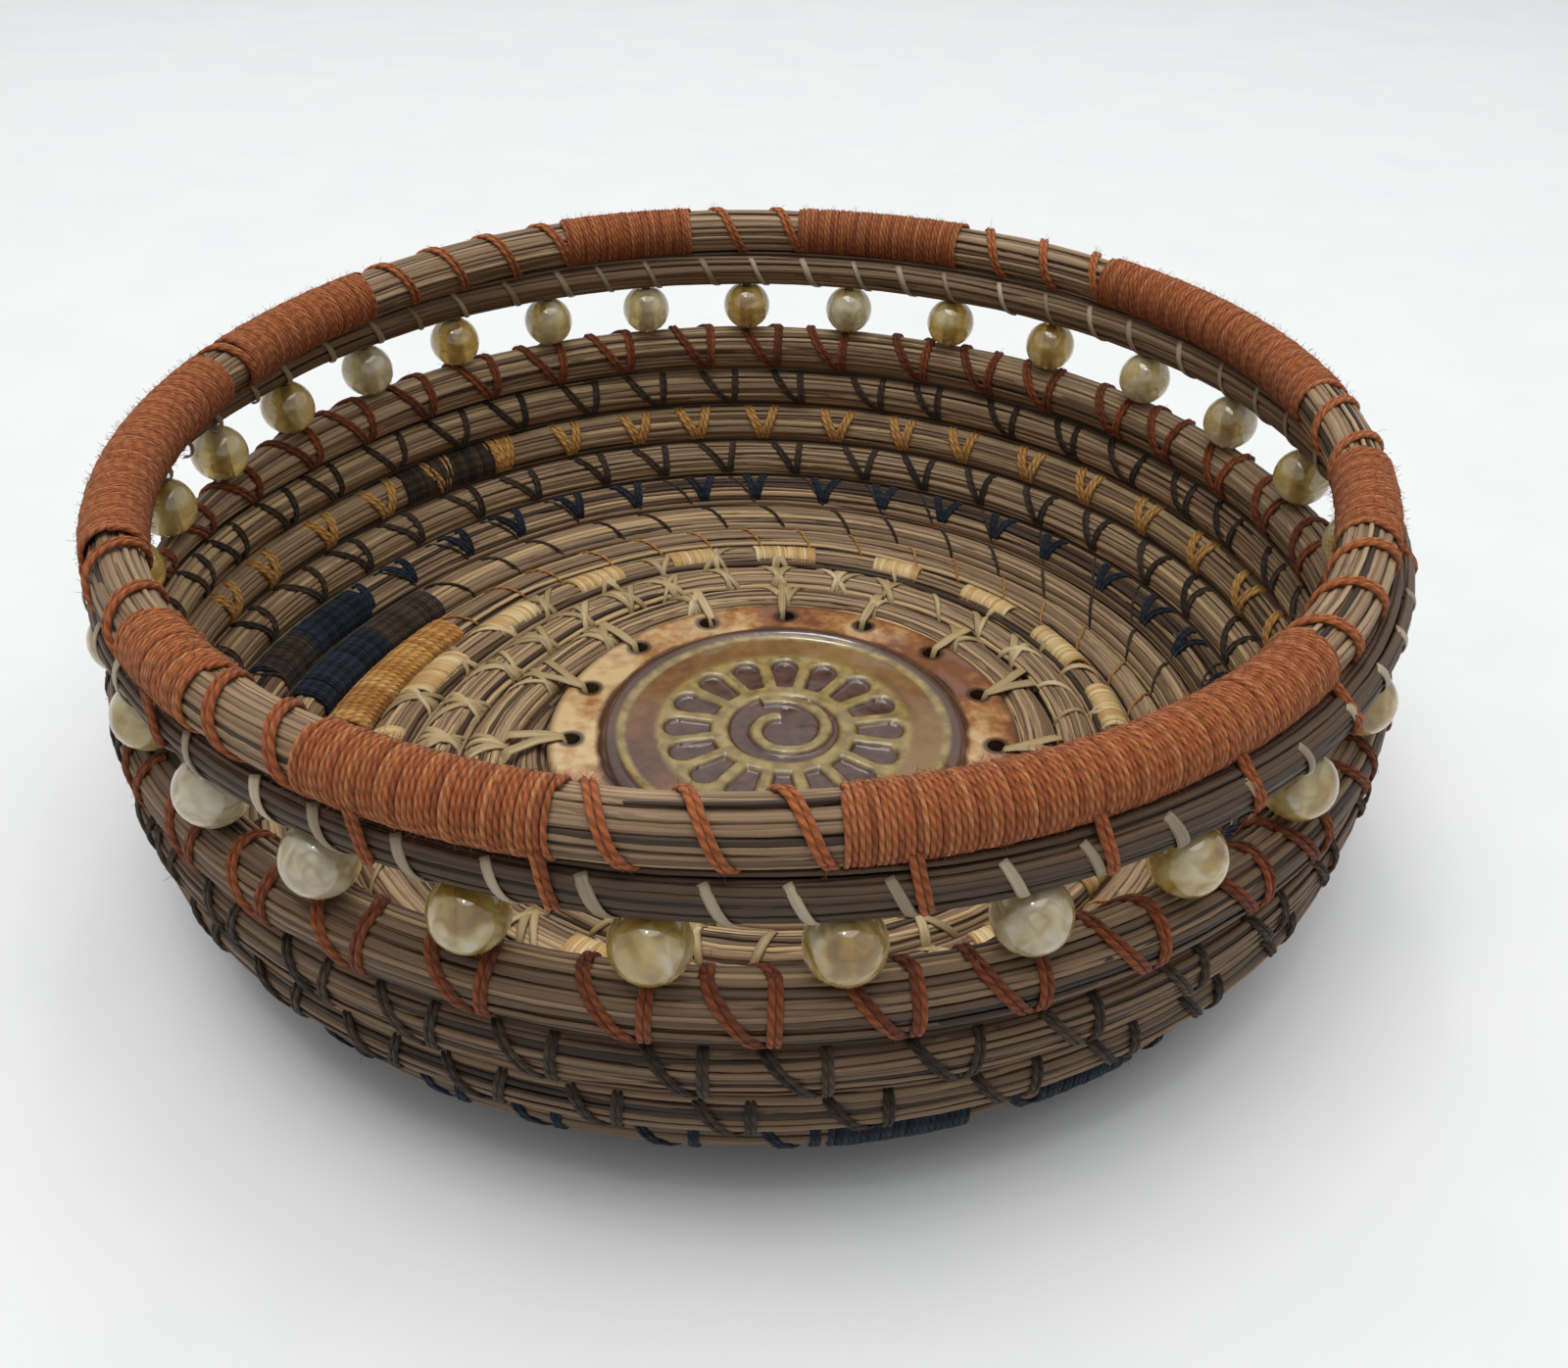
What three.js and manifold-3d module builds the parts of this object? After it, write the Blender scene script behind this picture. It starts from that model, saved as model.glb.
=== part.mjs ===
// Pine needle basket. One long coil of pine needles is sewn, row on row, round a glazed ceramic
// medallion to make the floor and the wall. Glass beads on threads stand between the top row and a
// thin rim coil, and a thick rim coil lies over that one, bound with wraps of rust yarn.
// Millimetres, +Z up. The origin is the middle of the foot, on the table, and -Y is the front.
import * as THREE from "three";
import { mergeVertices } from "three/addons/utils/BufferGeometryUtils.js";
import Module from "manifold-3d";

const wasm = await Module();
wasm.setup();

// Driving dimensions: fits
const CLEARANCE = 0.3; // air between neighbouring pieces
const COIL_GAP = 0.55; // air between the rows of the needle coil, and in the laps of the rim coils
const FOOT_CUT = 0.8; // depth of the flat where the floor rows stand on the table

// Driving dimensions: medallion
const MEDALLION_RADIUS = 42.9;
const MEDALLION_THICK = 5; // at the outer band that the holes go through
const MEDALLION_LIFT = 1; // underside above the table
const MEDALLION_OFFSET = 5.4; // the hand-made floor sits to the +X side of the rim's middle
const EDGE_ROUND = 0.8;
const LACING_HOLES = 15;
const LACING_HOLE_RADIUS = 1.7;
const LACING_INSET = 4.4; // from the medallion's edge to the middle of a hole
const SHOULDER_RADIUS = 34; // outside of the raised disc that holds the sun
const SHOULDER_WIDTH = 3;
const SHOULDER_HEIGHT = 1;
const DISH_DEPTH = 0.5; // the raised disc is dished inside its shoulder
const DISH_SLOPE = 3; // width of the slope down into the dish
const SUN_CELLS = 16;
const SUN_OUTER = 22;
const SUN_INNER = 13.2;
const SUN_LINE = 2.4; // width of the raised lines between the cells
const EYE_RADIUS = 10.6; // round recess in the middle of the sun
const RELIEF_DEPTH = 0.9; // depth of the cells and of the eye
const SPIRAL_WIDTH = 2.4;
const SPIRAL_START = 3.8; // middle of the spiral line at its inner end
const SPIRAL_TURNS = 1.05; // from there out to the edge of the eye
const SPIRAL_ANGLE = 100; // degrees from +X to the inner end

// Driving dimensions: needle coil of the floor and the wall
const ROWS = 10;
const FLOOR_ROW = 8; // width of the first row, with its share of the gap
const WALL_ROW = 8.9; // width of the top row, with its share of the gap
const FLOOR_RUN = 28.4; // flat floor from the medallion's edge to where the wall starts to rise
const CORNER_RADIUS = 27.1; // between the floor and the upright wall
const OFFSET_RUN = 42; // the medallion's offset fades out over this run of the floor and the corner

// Driving dimensions: beads and rim
const BEADS = 28;
const BEAD_RADIUS = 5;
const BEAD_TURN = 5; // degrees that the whole ring of beads is turned by
const BEAD_DRIFT = 4; // degrees that the hand-sewn beads crowd by, towards the left and the right
const THREAD_RADIUS = 0.8;
const THIN_COIL_RADIUS = 3;
const THICK_COIL_RADIUS = 3.7;
const THICK_COIL_INSET = 1.5; // the thick coil's middle line lies inside the thin one's, on average
const RIM_LEAN = 1.8; // the hand-sewn thick coil leans out over the back
const RIM_OVAL = 2.4; // and is a little oval: drawn in on one axis and let out on the other
const RIM_OVAL_TURN = -22; // degrees from +X to the axis on which it is drawn in
const YARN = 0.6; // thickness of the rust yarn in a close wrap
const LOOSE_YARN = 0.5; // thickness of the same yarn in the loose turns, where it is pulled tight

// Each wrap runs from one angle to another, in degrees from +X towards +Y, and the same yarn then
// goes round the bare needles in a few loose turns until the next wrap starts.
const WRAPS = [
  { from: -119, to: -101, looseTurns: 3 },
  { from: -83, to: -40, looseTurns: 3 },
  { from: -19.5, to: -5, looseTurns: 2 },
  { from: 9, to: 46.5, looseTurns: 3 },
  { from: 66, to: 86, looseTurns: 2 },
  { from: 99.5, to: 115.5, looseTurns: 4 },
  { from: 143, to: 164.5, looseTurns: 1 },
  { from: 169, to: 205.5, looseTurns: 2 },
  { from: 220, to: 230, looseTurns: 2 },
];

// Facets
const SIDES = 8; // of a coil's section, with one side flat towards each neighbour
const COIL_STEPS = 30; // of one turn of the needle coil
const RIM_STEPS = 36; // of one turn of a rim coil
const BEAD_SIDES = 10;
const BEAD_ARCS = 5;
const THREAD_SIDES = 6;
const YARN_SIDES = 5;
const MEDALLION_SIDES = 60;
const HOLE_SIDES = 8;
const SPIRAL_STEPS = 18;

// Where a coil climbs to its next row
const COIL_START = Math.PI * 1.2; // angle at which a row ends and the next one starts
const COIL_CLIMB = 0.2; // share of a turn that the climb takes
const RIM_CLIMB = 1 / 6;
const TAIL = 2 / 3; // share of the climb that a tapered end reaches into

// Sizes that follow from those
const floorEdge = MEDALLION_RADIUS + CLEARANCE - COIL_GAP / 2;
const wallRadius = floorEdge + FLOOR_RUN + CORNER_RADIUS;
const floorHeight = (FLOOR_ROW - COIL_GAP) / 2 - FOOT_CUT; // middle line of the floor rows
const wallTop = profileAt(rowEdge(ROWS) - COIL_GAP / 2).height;
const beadHeight = wallTop + CLEARANCE + BEAD_RADIUS;
const thinBottom = beadHeight + BEAD_RADIUS + CLEARANCE;
const thinHeight = thinBottom + THIN_COIL_RADIUS;
const cornerReach = 1 / Math.cos(Math.PI / SIDES); // corner of a section against its flat
const yarnOuter = THICK_COIL_RADIUS + CLEARANCE + YARN;
const rimReach = (THIN_COIL_RADIUS + yarnOuter) * cornerReach + CLEARANCE; // middle to middle
const bandTop = MEDALLION_LIFT + MEDALLION_THICK;
const dishTop = bandTop + SHOULDER_HEIGHT - DISH_DEPTH;

// Materials
const material = (color, roughness) =>
  new THREE.MeshStandardMaterial({ color, roughness, metalness: 0 });
const needles = material(0x6e5a48, 0.6);
const rimNeedles = material(0x7f6b58, 0.55);
const rustYarn = material(0x9c5a36, 0.9);
const glazedClay = material(0x9a7850, 0.15);
const swirledGlass = material(0xd8cba6, 0.1);

// The basket's profile
// Where a row starts along the profile: the rows widen evenly from the floor to the rim.
function rowEdge(row) {
  const widening = (WALL_ROW - FLOOR_ROW) / (ROWS - 1);
  return row * FLOOR_ROW + (widening * row * (row - 1)) / 2;
}

// Radius, height and slope of the coil's middle surface: flat floor, round corner, upright wall.
function profileAt(along) {
  const floor = Math.min(along, FLOOR_RUN);
  const slope = THREE.MathUtils.clamp((along - FLOOR_RUN) / CORNER_RADIUS, 0, Math.PI / 2);
  const wall = Math.max(0, along - FLOOR_RUN - (CORNER_RADIUS * Math.PI) / 2);
  return {
    radius: floorEdge + floor + CORNER_RADIUS * Math.sin(slope),
    height: floorHeight + CORNER_RADIUS * (1 - Math.cos(slope)) + wall,
    slope,
  };
}

// A point of the needle coil, proud of the middle surface towards the inside of the basket.
function onBasket(angle, along, proud) {
  const { radius, height, slope } = profileAt(along);
  const reach = radius - proud * Math.sin(slope);
  const offset = MEDALLION_OFFSET * Math.max(0, 1 - along / OFFSET_RUN);
  return new THREE.Vector3(
    offset + reach * Math.cos(angle),
    reach * Math.sin(angle),
    Math.max(0, height + proud * Math.cos(slope)),
  );
}

// A point at a radius and an angle round the basket's upright axis.
function polar(radius, angle, height) {
  return new THREE.Vector3(radius * Math.cos(angle), radius * Math.sin(angle), height);
}

// Coils
const smooth = (x) => THREE.MathUtils.smoothstep(x, 0, 1);

// Row reached after a number of turns: level for most of a turn, then a smooth climb to the next.
function rowAt(turns, climb) {
  const whole = Math.floor(turns);
  return whole + smooth((turns - whole - 1 + climb) / climb);
}

// Rings of points along one unbroken coil, which starts and ends in tapered tails. The start lies
// under the first climb and the end over the last one, so that the coil's edges stay level.
function coilRings({ rows, steps, climb, start, edge, place }) {
  const tail = Math.round(climb * TAIL * steps);
  const last = Math.round((rows - climb) * steps) + tail;
  const rings = [];
  for (let step = -tail; step <= last; step++) {
    const turns = step / steps;
    const low = edge(Math.max(0, rowAt(turns, climb)));
    const high = edge(Math.min(rows, rowAt(turns + 1, climb)));
    const half = (high - low - COIL_GAP) / 2;
    const ring = [];
    for (let side = 0; side < SIDES; side++) {
      const turn = ((side + 0.5) / SIDES) * 2 * Math.PI;
      const along = (low + high) / 2 + half * cornerReach * Math.cos(turn);
      const proud = -half * cornerReach * Math.sin(turn);
      ring.push(place(start + turns * 2 * Math.PI, along, proud));
    }
    rings.push(ring);
  }
  return rings;
}

// Least distance between the points of a coil and its own points about one turn further on.
function leastGap(rings, steps) {
  let least = Infinity;
  rings.forEach((ring, k) => {
    for (const later of rings.slice(k + steps - 1, k + steps + 2)) {
      for (const a of ring) {
        for (const b of later) least = Math.min(least, a.distanceTo(b));
      }
    }
  });
  return least;
}

// A closed tube through rings of points that go anticlockwise about its direction.
function tube(rings) {
  const count = rings[0].length;
  const positions = rings.flat().flatMap((p) => [p.x, p.y, p.z]);
  const index = [];
  for (let k = 0; k + 1 < rings.length; k++) {
    for (let i = 0; i < count; i++) {
      const a = k * count + i;
      const b = k * count + ((i + 1) % count);
      index.push(a, b, b + count, a, b + count, a + count);
    }
  }
  const end = (rings.length - 1) * count;
  for (let i = 1; i + 1 < count; i++) {
    index.push(0, i + 1, i);
    index.push(end, end + i, end + i + 1);
  }
  const geometry = new THREE.BufferGeometry();
  geometry.setAttribute("position", new THREE.Float32BufferAttribute(positions, 3));
  geometry.setIndex(index);
  return geometry;
}

// Solids for joining and cutting
function toSolid(geometry) {
  const bare = new THREE.BufferGeometry();
  bare.setAttribute("position", geometry.getAttribute("position"));
  bare.setIndex(geometry.getIndex());
  const merged = mergeVertices(bare, 1e-4);
  return new wasm.Manifold(
    new wasm.Mesh({
      numProp: 3,
      vertProperties: merged.getAttribute("position").array,
      triVerts: Uint32Array.from(merged.getIndex().array),
    }),
  );
}

function toGeometry(solid) {
  const { vertProperties, triVerts } = solid.getMesh();
  const geometry = new THREE.BufferGeometry();
  geometry.setAttribute("position", new THREE.BufferAttribute(vertProperties, 3));
  geometry.setIndex(new THREE.BufferAttribute(triVerts, 1));
  geometry.computeVertexNormals();
  return geometry;
}

function named(name, geometry, finish) {
  const mesh = new THREE.Mesh(geometry, finish);
  mesh.name = name;
  return mesh;
}

// Medallion: a stamped disc with lacing holes, a raised disc, a sun of recessed cells and a spiral
function medallion() {
  const profile = [
    [0, MEDALLION_LIFT],
    [MEDALLION_RADIUS - EDGE_ROUND, MEDALLION_LIFT],
    [MEDALLION_RADIUS, MEDALLION_LIFT + EDGE_ROUND],
    [MEDALLION_RADIUS, bandTop - EDGE_ROUND],
    [MEDALLION_RADIUS - EDGE_ROUND, bandTop],
    [SHOULDER_RADIUS, bandTop],
    [SHOULDER_RADIUS - SHOULDER_WIDTH / 3, bandTop + SHOULDER_HEIGHT * 0.75],
    [SHOULDER_RADIUS - SHOULDER_WIDTH, bandTop + SHOULDER_HEIGHT],
    [SHOULDER_RADIUS - SHOULDER_WIDTH - DISH_SLOPE, dishTop],
    [EYE_RADIUS, dishTop],
    [EYE_RADIUS - RELIEF_DEPTH / 2, dishTop - RELIEF_DEPTH],
    [0, dishTop - RELIEF_DEPTH],
  ].map(([x, y]) => new THREE.Vector2(x, y));
  const disc = new THREE.LatheGeometry(profile, MEDALLION_SIDES).rotateX(Math.PI / 2);
  let solid = toSolid(disc).add(toSolid(spiralLine()));
  for (let i = 0; i < LACING_HOLES; i++) {
    const angle = (i / LACING_HOLES + 1 / 4) * 2 * Math.PI;
    solid = solid.subtract(toSolid(lacingHole(angle)));
  }
  for (let i = 0; i < SUN_CELLS; i++) {
    solid = solid.subtract(toSolid(sunCell((i / SUN_CELLS) * 2 * Math.PI)));
  }
  const mesh = named("medallion", toGeometry(solid), glazedClay);
  mesh.position.x = MEDALLION_OFFSET;
  return mesh;
}

function lacingHole(angle) {
  const radius = MEDALLION_RADIUS - LACING_INSET;
  const length = MEDALLION_THICK * 2;
  return new THREE.CylinderGeometry(LACING_HOLE_RADIUS, LACING_HOLE_RADIUS, length, HOLE_SIDES)
    .rotateX(Math.PI / 2)
    .translate(...polar(radius, angle, MEDALLION_LIFT + MEDALLION_THICK / 2));
}

// One cell of the sun: it widens from the eye to a round outer end, between lines of even width.
function sunCell(angle) {
  const spread = Math.tan(Math.PI / SUN_CELLS);
  const narrow = SUN_INNER * spread - SUN_LINE / 2;
  const round = (SUN_OUTER * spread - SUN_LINE / 2) / (1 + spread);
  const shape = new THREE.Shape();
  shape.moveTo(SUN_INNER, -narrow);
  shape.absarc(SUN_OUTER - round, 0, round, -Math.PI / 2, Math.PI / 2);
  shape.lineTo(SUN_INNER, narrow);
  const options = { depth: RELIEF_DEPTH * 2, bevelEnabled: false, curveSegments: 4 };
  return new THREE.ExtrudeGeometry(shape, options)
    .rotateZ(angle)
    .translate(0, 0, dishTop - RELIEF_DEPTH);
}

// The raised line that curls out to the edge of the eye, at the level of the dish.
function spiralLine() {
  const inner = [];
  const outer = [];
  const start = THREE.MathUtils.degToRad(SPIRAL_ANGLE);
  const end = EYE_RADIUS - SPIRAL_WIDTH / 2;
  for (let i = 0; i <= SPIRAL_STEPS; i++) {
    const share = i / SPIRAL_STEPS;
    const angle = start + share * SPIRAL_TURNS * 2 * Math.PI;
    const radius = SPIRAL_START + share * (end - SPIRAL_START);
    const at = (r) => new THREE.Vector2(r * Math.cos(angle), r * Math.sin(angle));
    inner.push(at(radius - SPIRAL_WIDTH / 2));
    outer.push(at(radius + SPIRAL_WIDTH / 2));
  }
  const shape = new THREE.Shape([...outer, ...inner.reverse()]);
  const root = RELIEF_DEPTH / 2; // how far the line is rooted in the clay
  const options = { depth: RELIEF_DEPTH + root, bevelEnabled: false };
  return new THREE.ExtrudeGeometry(shape, options).translate(0, 0, dishTop - RELIEF_DEPTH - root);
}

// Needle coil: the floor and the wall in one piece
function needleCoil() {
  const rings = coilRings({
    rows: ROWS,
    steps: COIL_STEPS,
    climb: COIL_CLIMB,
    start: COIL_START,
    edge: rowEdge,
    place: onBasket,
  });
  const gap = leastGap(rings, COIL_STEPS);
  console.log("least gap of the needle coil to itself: " + gap.toFixed(2) + " mm");
  return named("needle_coil", tube(rings), needles);
}

// Middle line of the thin rim coil: a level circle over the wall.
function thinMiddle() {
  return { radius: wallRadius, height: thinHeight };
}

// Middle line of the thick rim coil, which lies on the thin one all the way round.
function thickMiddle(angle) {
  const fromOval = angle - THREE.MathUtils.degToRad(RIM_OVAL_TURN);
  const inset = THICK_COIL_INSET - RIM_LEAN * Math.sin(angle) + RIM_OVAL * Math.cos(2 * fromOval);
  return {
    radius: wallRadius - inset,
    height: thinHeight + Math.sqrt(rimReach ** 2 - inset ** 2),
  };
}

// One lapped turn of a rim coil, whose section stands upright on its middle line.
function rimCoilRings(middle, sectionRadius) {
  return coilRings({
    rows: 1,
    steps: RIM_STEPS,
    climb: RIM_CLIMB,
    start: COIL_START,
    edge: (row) => (row - 1 / 2) * (2 * sectionRadius + COIL_GAP),
    place: (angle, along, proud) => {
      const { radius, height } = middle(angle);
      return polar(radius - proud, angle, height + along);
    },
  });
}

// Where a bead stands round the rim: even steps, with the drift of sewing by hand.
function beadAngle(i) {
  const even = ((i + 0.5) / BEADS) * 2 * Math.PI;
  return even + THREE.MathUtils.degToRad(BEAD_TURN + BEAD_DRIFT * Math.sin(even));
}

// Thin rim coil, with the threads that hang from it through the beads
function thinRimCoil() {
  let solid = toSolid(tube(rimCoilRings(thinMiddle, THIN_COIL_RADIUS)));
  const bottom = wallTop + CLEARANCE;
  const length = thinHeight - bottom;
  for (let i = 0; i < BEADS; i++) {
    const thread = new THREE.CylinderGeometry(THREAD_RADIUS, THREAD_RADIUS, length, THREAD_SIDES)
      .rotateX(Math.PI / 2)
      .translate(...polar(wallRadius, beadAngle(i), bottom + length / 2));
    solid = solid.add(toSolid(thread));
  }
  return named("thin_rim_coil", toGeometry(solid), rimNeedles);
}

function thickRimCoil() {
  const rings = rimCoilRings(thickMiddle, THICK_COIL_RADIUS);
  return named("thick_rim_coil", tube(rings), rimNeedles);
}

// A point beside the thick coil's middle line, which runs straight from step to step.
function besideThickCoil(angle, outward, upward) {
  const stepAngle = (2 * Math.PI) / RIM_STEPS;
  const step = (angle - COIL_START) / stepAngle;
  const whole = Math.floor(step);
  const at = (k) => {
    const end = COIL_START + k * stepAngle;
    const { radius, height } = thickMiddle(end);
    return polar(radius + outward, end, height + upward);
  };
  return at(whole).lerp(at(whole + 1), step - whole);
}

// Rings of a sleeve's wall at one distance from the coil's middle line.
function sleeveRings(from, to, distance) {
  const stepAngle = (2 * Math.PI) / RIM_STEPS;
  const angles = [from];
  const first = Math.floor((from - COIL_START) / stepAngle) + 1;
  for (let k = first; COIL_START + k * stepAngle < to; k++) angles.push(COIL_START + k * stepAngle);
  angles.push(to);
  return angles.map((angle) =>
    Array.from({ length: SIDES }, (_, side) => {
      const turn = ((side + 0.5) / SIDES) * 2 * Math.PI;
      const reach = distance * cornerReach;
      return besideThickCoil(angle, reach * Math.sin(turn), reach * Math.cos(turn));
    }),
  );
}

// Rings of loose turns of yarn, which bend at the corners of the coil's section.
function looseYarnRings(from, to, turns) {
  const reach = (THICK_COIL_RADIUS + CLEARANCE + YARN / 2) * cornerReach;
  const count = turns * SIDES;
  const middle = Array.from({ length: count + 1 }, (_, i) => {
    const turn = ((i + 0.5) / SIDES) * 2 * Math.PI;
    const angle = from + (i / count) * (to - from);
    return {
      axis: besideThickCoil(angle, 0, 0),
      point: besideThickCoil(angle, reach * Math.sin(turn), reach * Math.cos(turn)),
    };
  });
  return middle.map(({ axis, point }, i) => {
    const before = middle[Math.max(0, i - 1)].point;
    const after = middle[Math.min(count, i + 1)].point;
    const forward = after.clone().sub(before).normalize();
    const across = forward.clone().cross(point.clone().sub(axis)).normalize();
    const out = across.clone().cross(forward);
    return Array.from({ length: YARN_SIDES }, (_, side) => {
      const turn = (side / YARN_SIDES) * 2 * Math.PI;
      return point
        .clone()
        .addScaledVector(out, (LOOSE_YARN / 2) * Math.cos(turn))
        .addScaledVector(across, (LOOSE_YARN / 2) * Math.sin(turn));
    });
  });
}

// Rust yarn: a close wrap round the thick coil and the loose turns that lead to the next wrap
function rimYarn(i) {
  const radians = THREE.MathUtils.degToRad;
  const { from, to, looseTurns } = WRAPS[i];
  const next = WRAPS[(i + 1) % WRAPS.length];
  const start = radians(from);
  const end = radians(to);
  const lap = YARN / wallRadius; // angle that one yarn takes up along the rim
  const nextStart = radians(next.from + (next.from < from ? 360 : 0)) - CLEARANCE / wallRadius - lap;
  const bore = sleeveRings(start - lap, end + lap, THICK_COIL_RADIUS + CLEARANCE);
  const wrap = toSolid(tube(sleeveRings(start, end, yarnOuter))).subtract(toSolid(tube(bore)));
  const loose = tube(looseYarnRings(end - lap, nextStart, looseTurns));
  return named("rim_yarn_" + (i + 1), toGeometry(wrap.add(toSolid(loose))), rustYarn);
}

// A bead: a ball with a bore that turns on its thread
function bead(i) {
  const bore = THREAD_RADIUS + CLEARANCE;
  const reach = Math.acos(bore / BEAD_RADIUS);
  const profile = Array.from({ length: BEAD_ARCS + 1 }, (_, k) => {
    const angle = reach * ((2 * k) / BEAD_ARCS - 1);
    return new THREE.Vector2(BEAD_RADIUS * Math.cos(angle), BEAD_RADIUS * Math.sin(angle));
  });
  profile.push(profile[0].clone());
  const ball = new THREE.LatheGeometry(profile, BEAD_SIDES).rotateX(Math.PI / 2);
  const mesh = named("bead_" + String(i + 1).padStart(2, "0"), ball, swirledGlass);
  mesh.position.copy(polar(wallRadius, beadAngle(i), beadHeight));
  return mesh;
}

// The basket
const basket = new THREE.Group();
basket.add(medallion(), needleCoil(), thinRimCoil(), thickRimCoil());
WRAPS.forEach((_, i) => basket.add(rimYarn(i)));
for (let i = 0; i < BEADS; i++) basket.add(bead(i));

export default basket;
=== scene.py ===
# Looks of the pine needle basket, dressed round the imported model. Metres, +Z up, -Y is the front.
import math
from collections import defaultdict
from math import pi, radians

import bpy
import numpy as np
from mathutils import Matrix, Vector


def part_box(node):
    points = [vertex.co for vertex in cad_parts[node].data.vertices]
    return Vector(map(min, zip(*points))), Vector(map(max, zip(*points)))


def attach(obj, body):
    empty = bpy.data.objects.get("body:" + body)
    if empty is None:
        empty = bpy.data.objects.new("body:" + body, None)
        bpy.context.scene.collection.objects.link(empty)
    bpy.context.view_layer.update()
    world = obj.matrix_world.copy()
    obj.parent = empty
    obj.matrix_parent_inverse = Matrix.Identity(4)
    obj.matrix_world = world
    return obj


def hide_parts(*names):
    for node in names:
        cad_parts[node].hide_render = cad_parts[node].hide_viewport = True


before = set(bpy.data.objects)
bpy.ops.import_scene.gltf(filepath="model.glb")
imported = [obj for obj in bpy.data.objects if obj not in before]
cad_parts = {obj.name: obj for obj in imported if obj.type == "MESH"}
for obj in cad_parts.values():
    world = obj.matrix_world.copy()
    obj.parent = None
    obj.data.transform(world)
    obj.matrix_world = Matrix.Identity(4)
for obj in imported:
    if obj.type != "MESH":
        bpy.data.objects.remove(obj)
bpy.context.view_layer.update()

TAU = 2 * pi
rng = np.random.default_rng(11)

# Driving dimensions: needle coil
ROWS = 10
FLOOR_ROW = 0.008
WALL_ROW = 0.0089
ROW_GAP = 0.00055
FLOOR_RUN = 0.0284
CORNER_RADIUS = 0.0271
OFFSET_RUN = 0.042
FOOT_CUT = 0.0008
CLEARANCE = 0.0003
COIL_START = 1.2 * pi
COIL_CLIMB = 0.2
TAIL = 2 / 3
TAIL_HALF = 0.0004  # half the width of a tail's end

# Driving dimensions: beads and rim
BEADS = 28
BEAD_RADIUS = 0.005
BEAD_BORE = 0.0011
THREAD_RADIUS = 0.0008
THIN_COIL_RADIUS = 0.003
THICK_COIL_RADIUS = 0.0037
THICK_COIL_INSET = 0.0015
RIM_LEAN = 0.0018
RIM_OVAL = 0.0024
RIM_OVAL_TURN = radians(-22)
RIM_CLIMB = 1 / 6
YARN = 0.0006

# Wraps of rust yarn: from and to, in degrees, then loose turns up to the next wrap
WRAPS = [
    (-119, -101, 3),
    (-83, -40, 3),
    (-19.5, -5, 2),
    (9, 46.5, 3),
    (66, 86, 2),
    (99.5, 115.5, 4),
    (143, 164.5, 1),
    (169, 205.5, 2),
    (220, 230, 2),
]

# Driving dimensions: medallion
EDGE_ROUND = 0.0008
LACING_HOLES = 15
LACING_HOLE_RADIUS = 0.0017
LACING_INSET = 0.0044
BAND_THICK = 0.005
SHOULDER_RADIUS = 0.034
SHOULDER_WIDTH = 0.003
SHOULDER_HEIGHT = 0.001
DISH_DEPTH = 0.0005
DISH_SLOPE = 0.003
SUN_CELLS = 16
SUN_OUTER = 0.022
SUN_INNER = 0.0132
SUN_LINE = 0.0024
EYE_RADIUS = 0.0106
RELIEF_DEPTH = 0.0009
SPIRAL_WIDTH = 0.0024
SPIRAL_START = 0.0038
SPIRAL_TURNS = 1.05
SPIRAL_ANGLE = radians(100)

# Driving dimensions: needles
NEEDLE_WIDTH = 0.0011
NEEDLE_FLATNESS = 0.6  # thickness over width
NEEDLE_LENGTHS = (0.13, 0.26)
NEEDLE_STEP = 0.92  # of its length, to the next one of its lane
NEEDLE_DEPTHS = (-0.00045, 0.00014)  # of the deepest and the most proud
NEEDLE_TUCK = 0.0006  # of the ends, in under other needles
UNDER_LAYER = 0.0004  # depth of a second layer
PALE_NEEDLES = 0.07  # share that are pale
GAP_SHADE_NEEDLES = 0.1  # share that are dark: painted shade for the gaps between needles
COIL_LANES, THIN_LANES, THICK_LANES = 32, 22, 30  # needles round each coil
SWELL = 0.0002  # how far needles stand proud of the solid coil
RIM_SWELL = 0.0004  # and of the rim coils
RIM_PRESS = 0.0005  # further, towards the other rim coil
ROW_PRESS = 0.0001  # past the middle of the gap between rows
CORE_SLACK = (0.0014, 0.0012)  # what a dark core, painted shade inside the coil, leaves of its coil's width and thickness
BED_WIDTH = 0.0018  # of a dark bed between two rows, painted shade in the crease
BED_OVERLAP = 0.0014  # into both, in all
TABLE_CLEAR = 0.0001  # of the lowest strands

# Driving dimensions: threads
STITCHES = 38  # in one turn of a wall row
STITCH_SHIFT = 0.45  # of the spacing, from a row to the one below
SLANTED = (-0.47, 0.02)  # where a stitch's legs end, as shares of the spacing
NARROW_V = (-0.26, 0.12)
INSIDE, OUTSIDE, BOTH = (-1,), (1,), (-1, 1)  # faces of a row
FULL_FACE = (0.97, 0.03)  # from the crease below a row to the one above, in half turns
LEG_SHARES = np.linspace(0, 1, 12)  # points of a leg, as shares of its way
NAVY_FOOT = 0.84  # where navy legs start
RUST_PLY, OCHRE_PLY, NAVY_PLY, SEWING_PLY = 0.00098, 0.0011, 0.00095, 0.0008
LOW_PLY, FINE_PLY = 0.0007, 0.0006  # of single threads
PLY_STEP = 0.88  # of its width, to the next ply
PLY_FLATNESS = 0.8  # thickness over width
WRAP_STRAND, OCHRE_STRAND = 0.001, 0.0016  # of wrapped stretches
WRAP_THICK = 0.0009
WRAP_STEP = 0.78  # of its width, to the next strand
STITCH_HAIR = 0.0013  # length of a hair
HAIR = 0.00005  # its thickness

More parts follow.
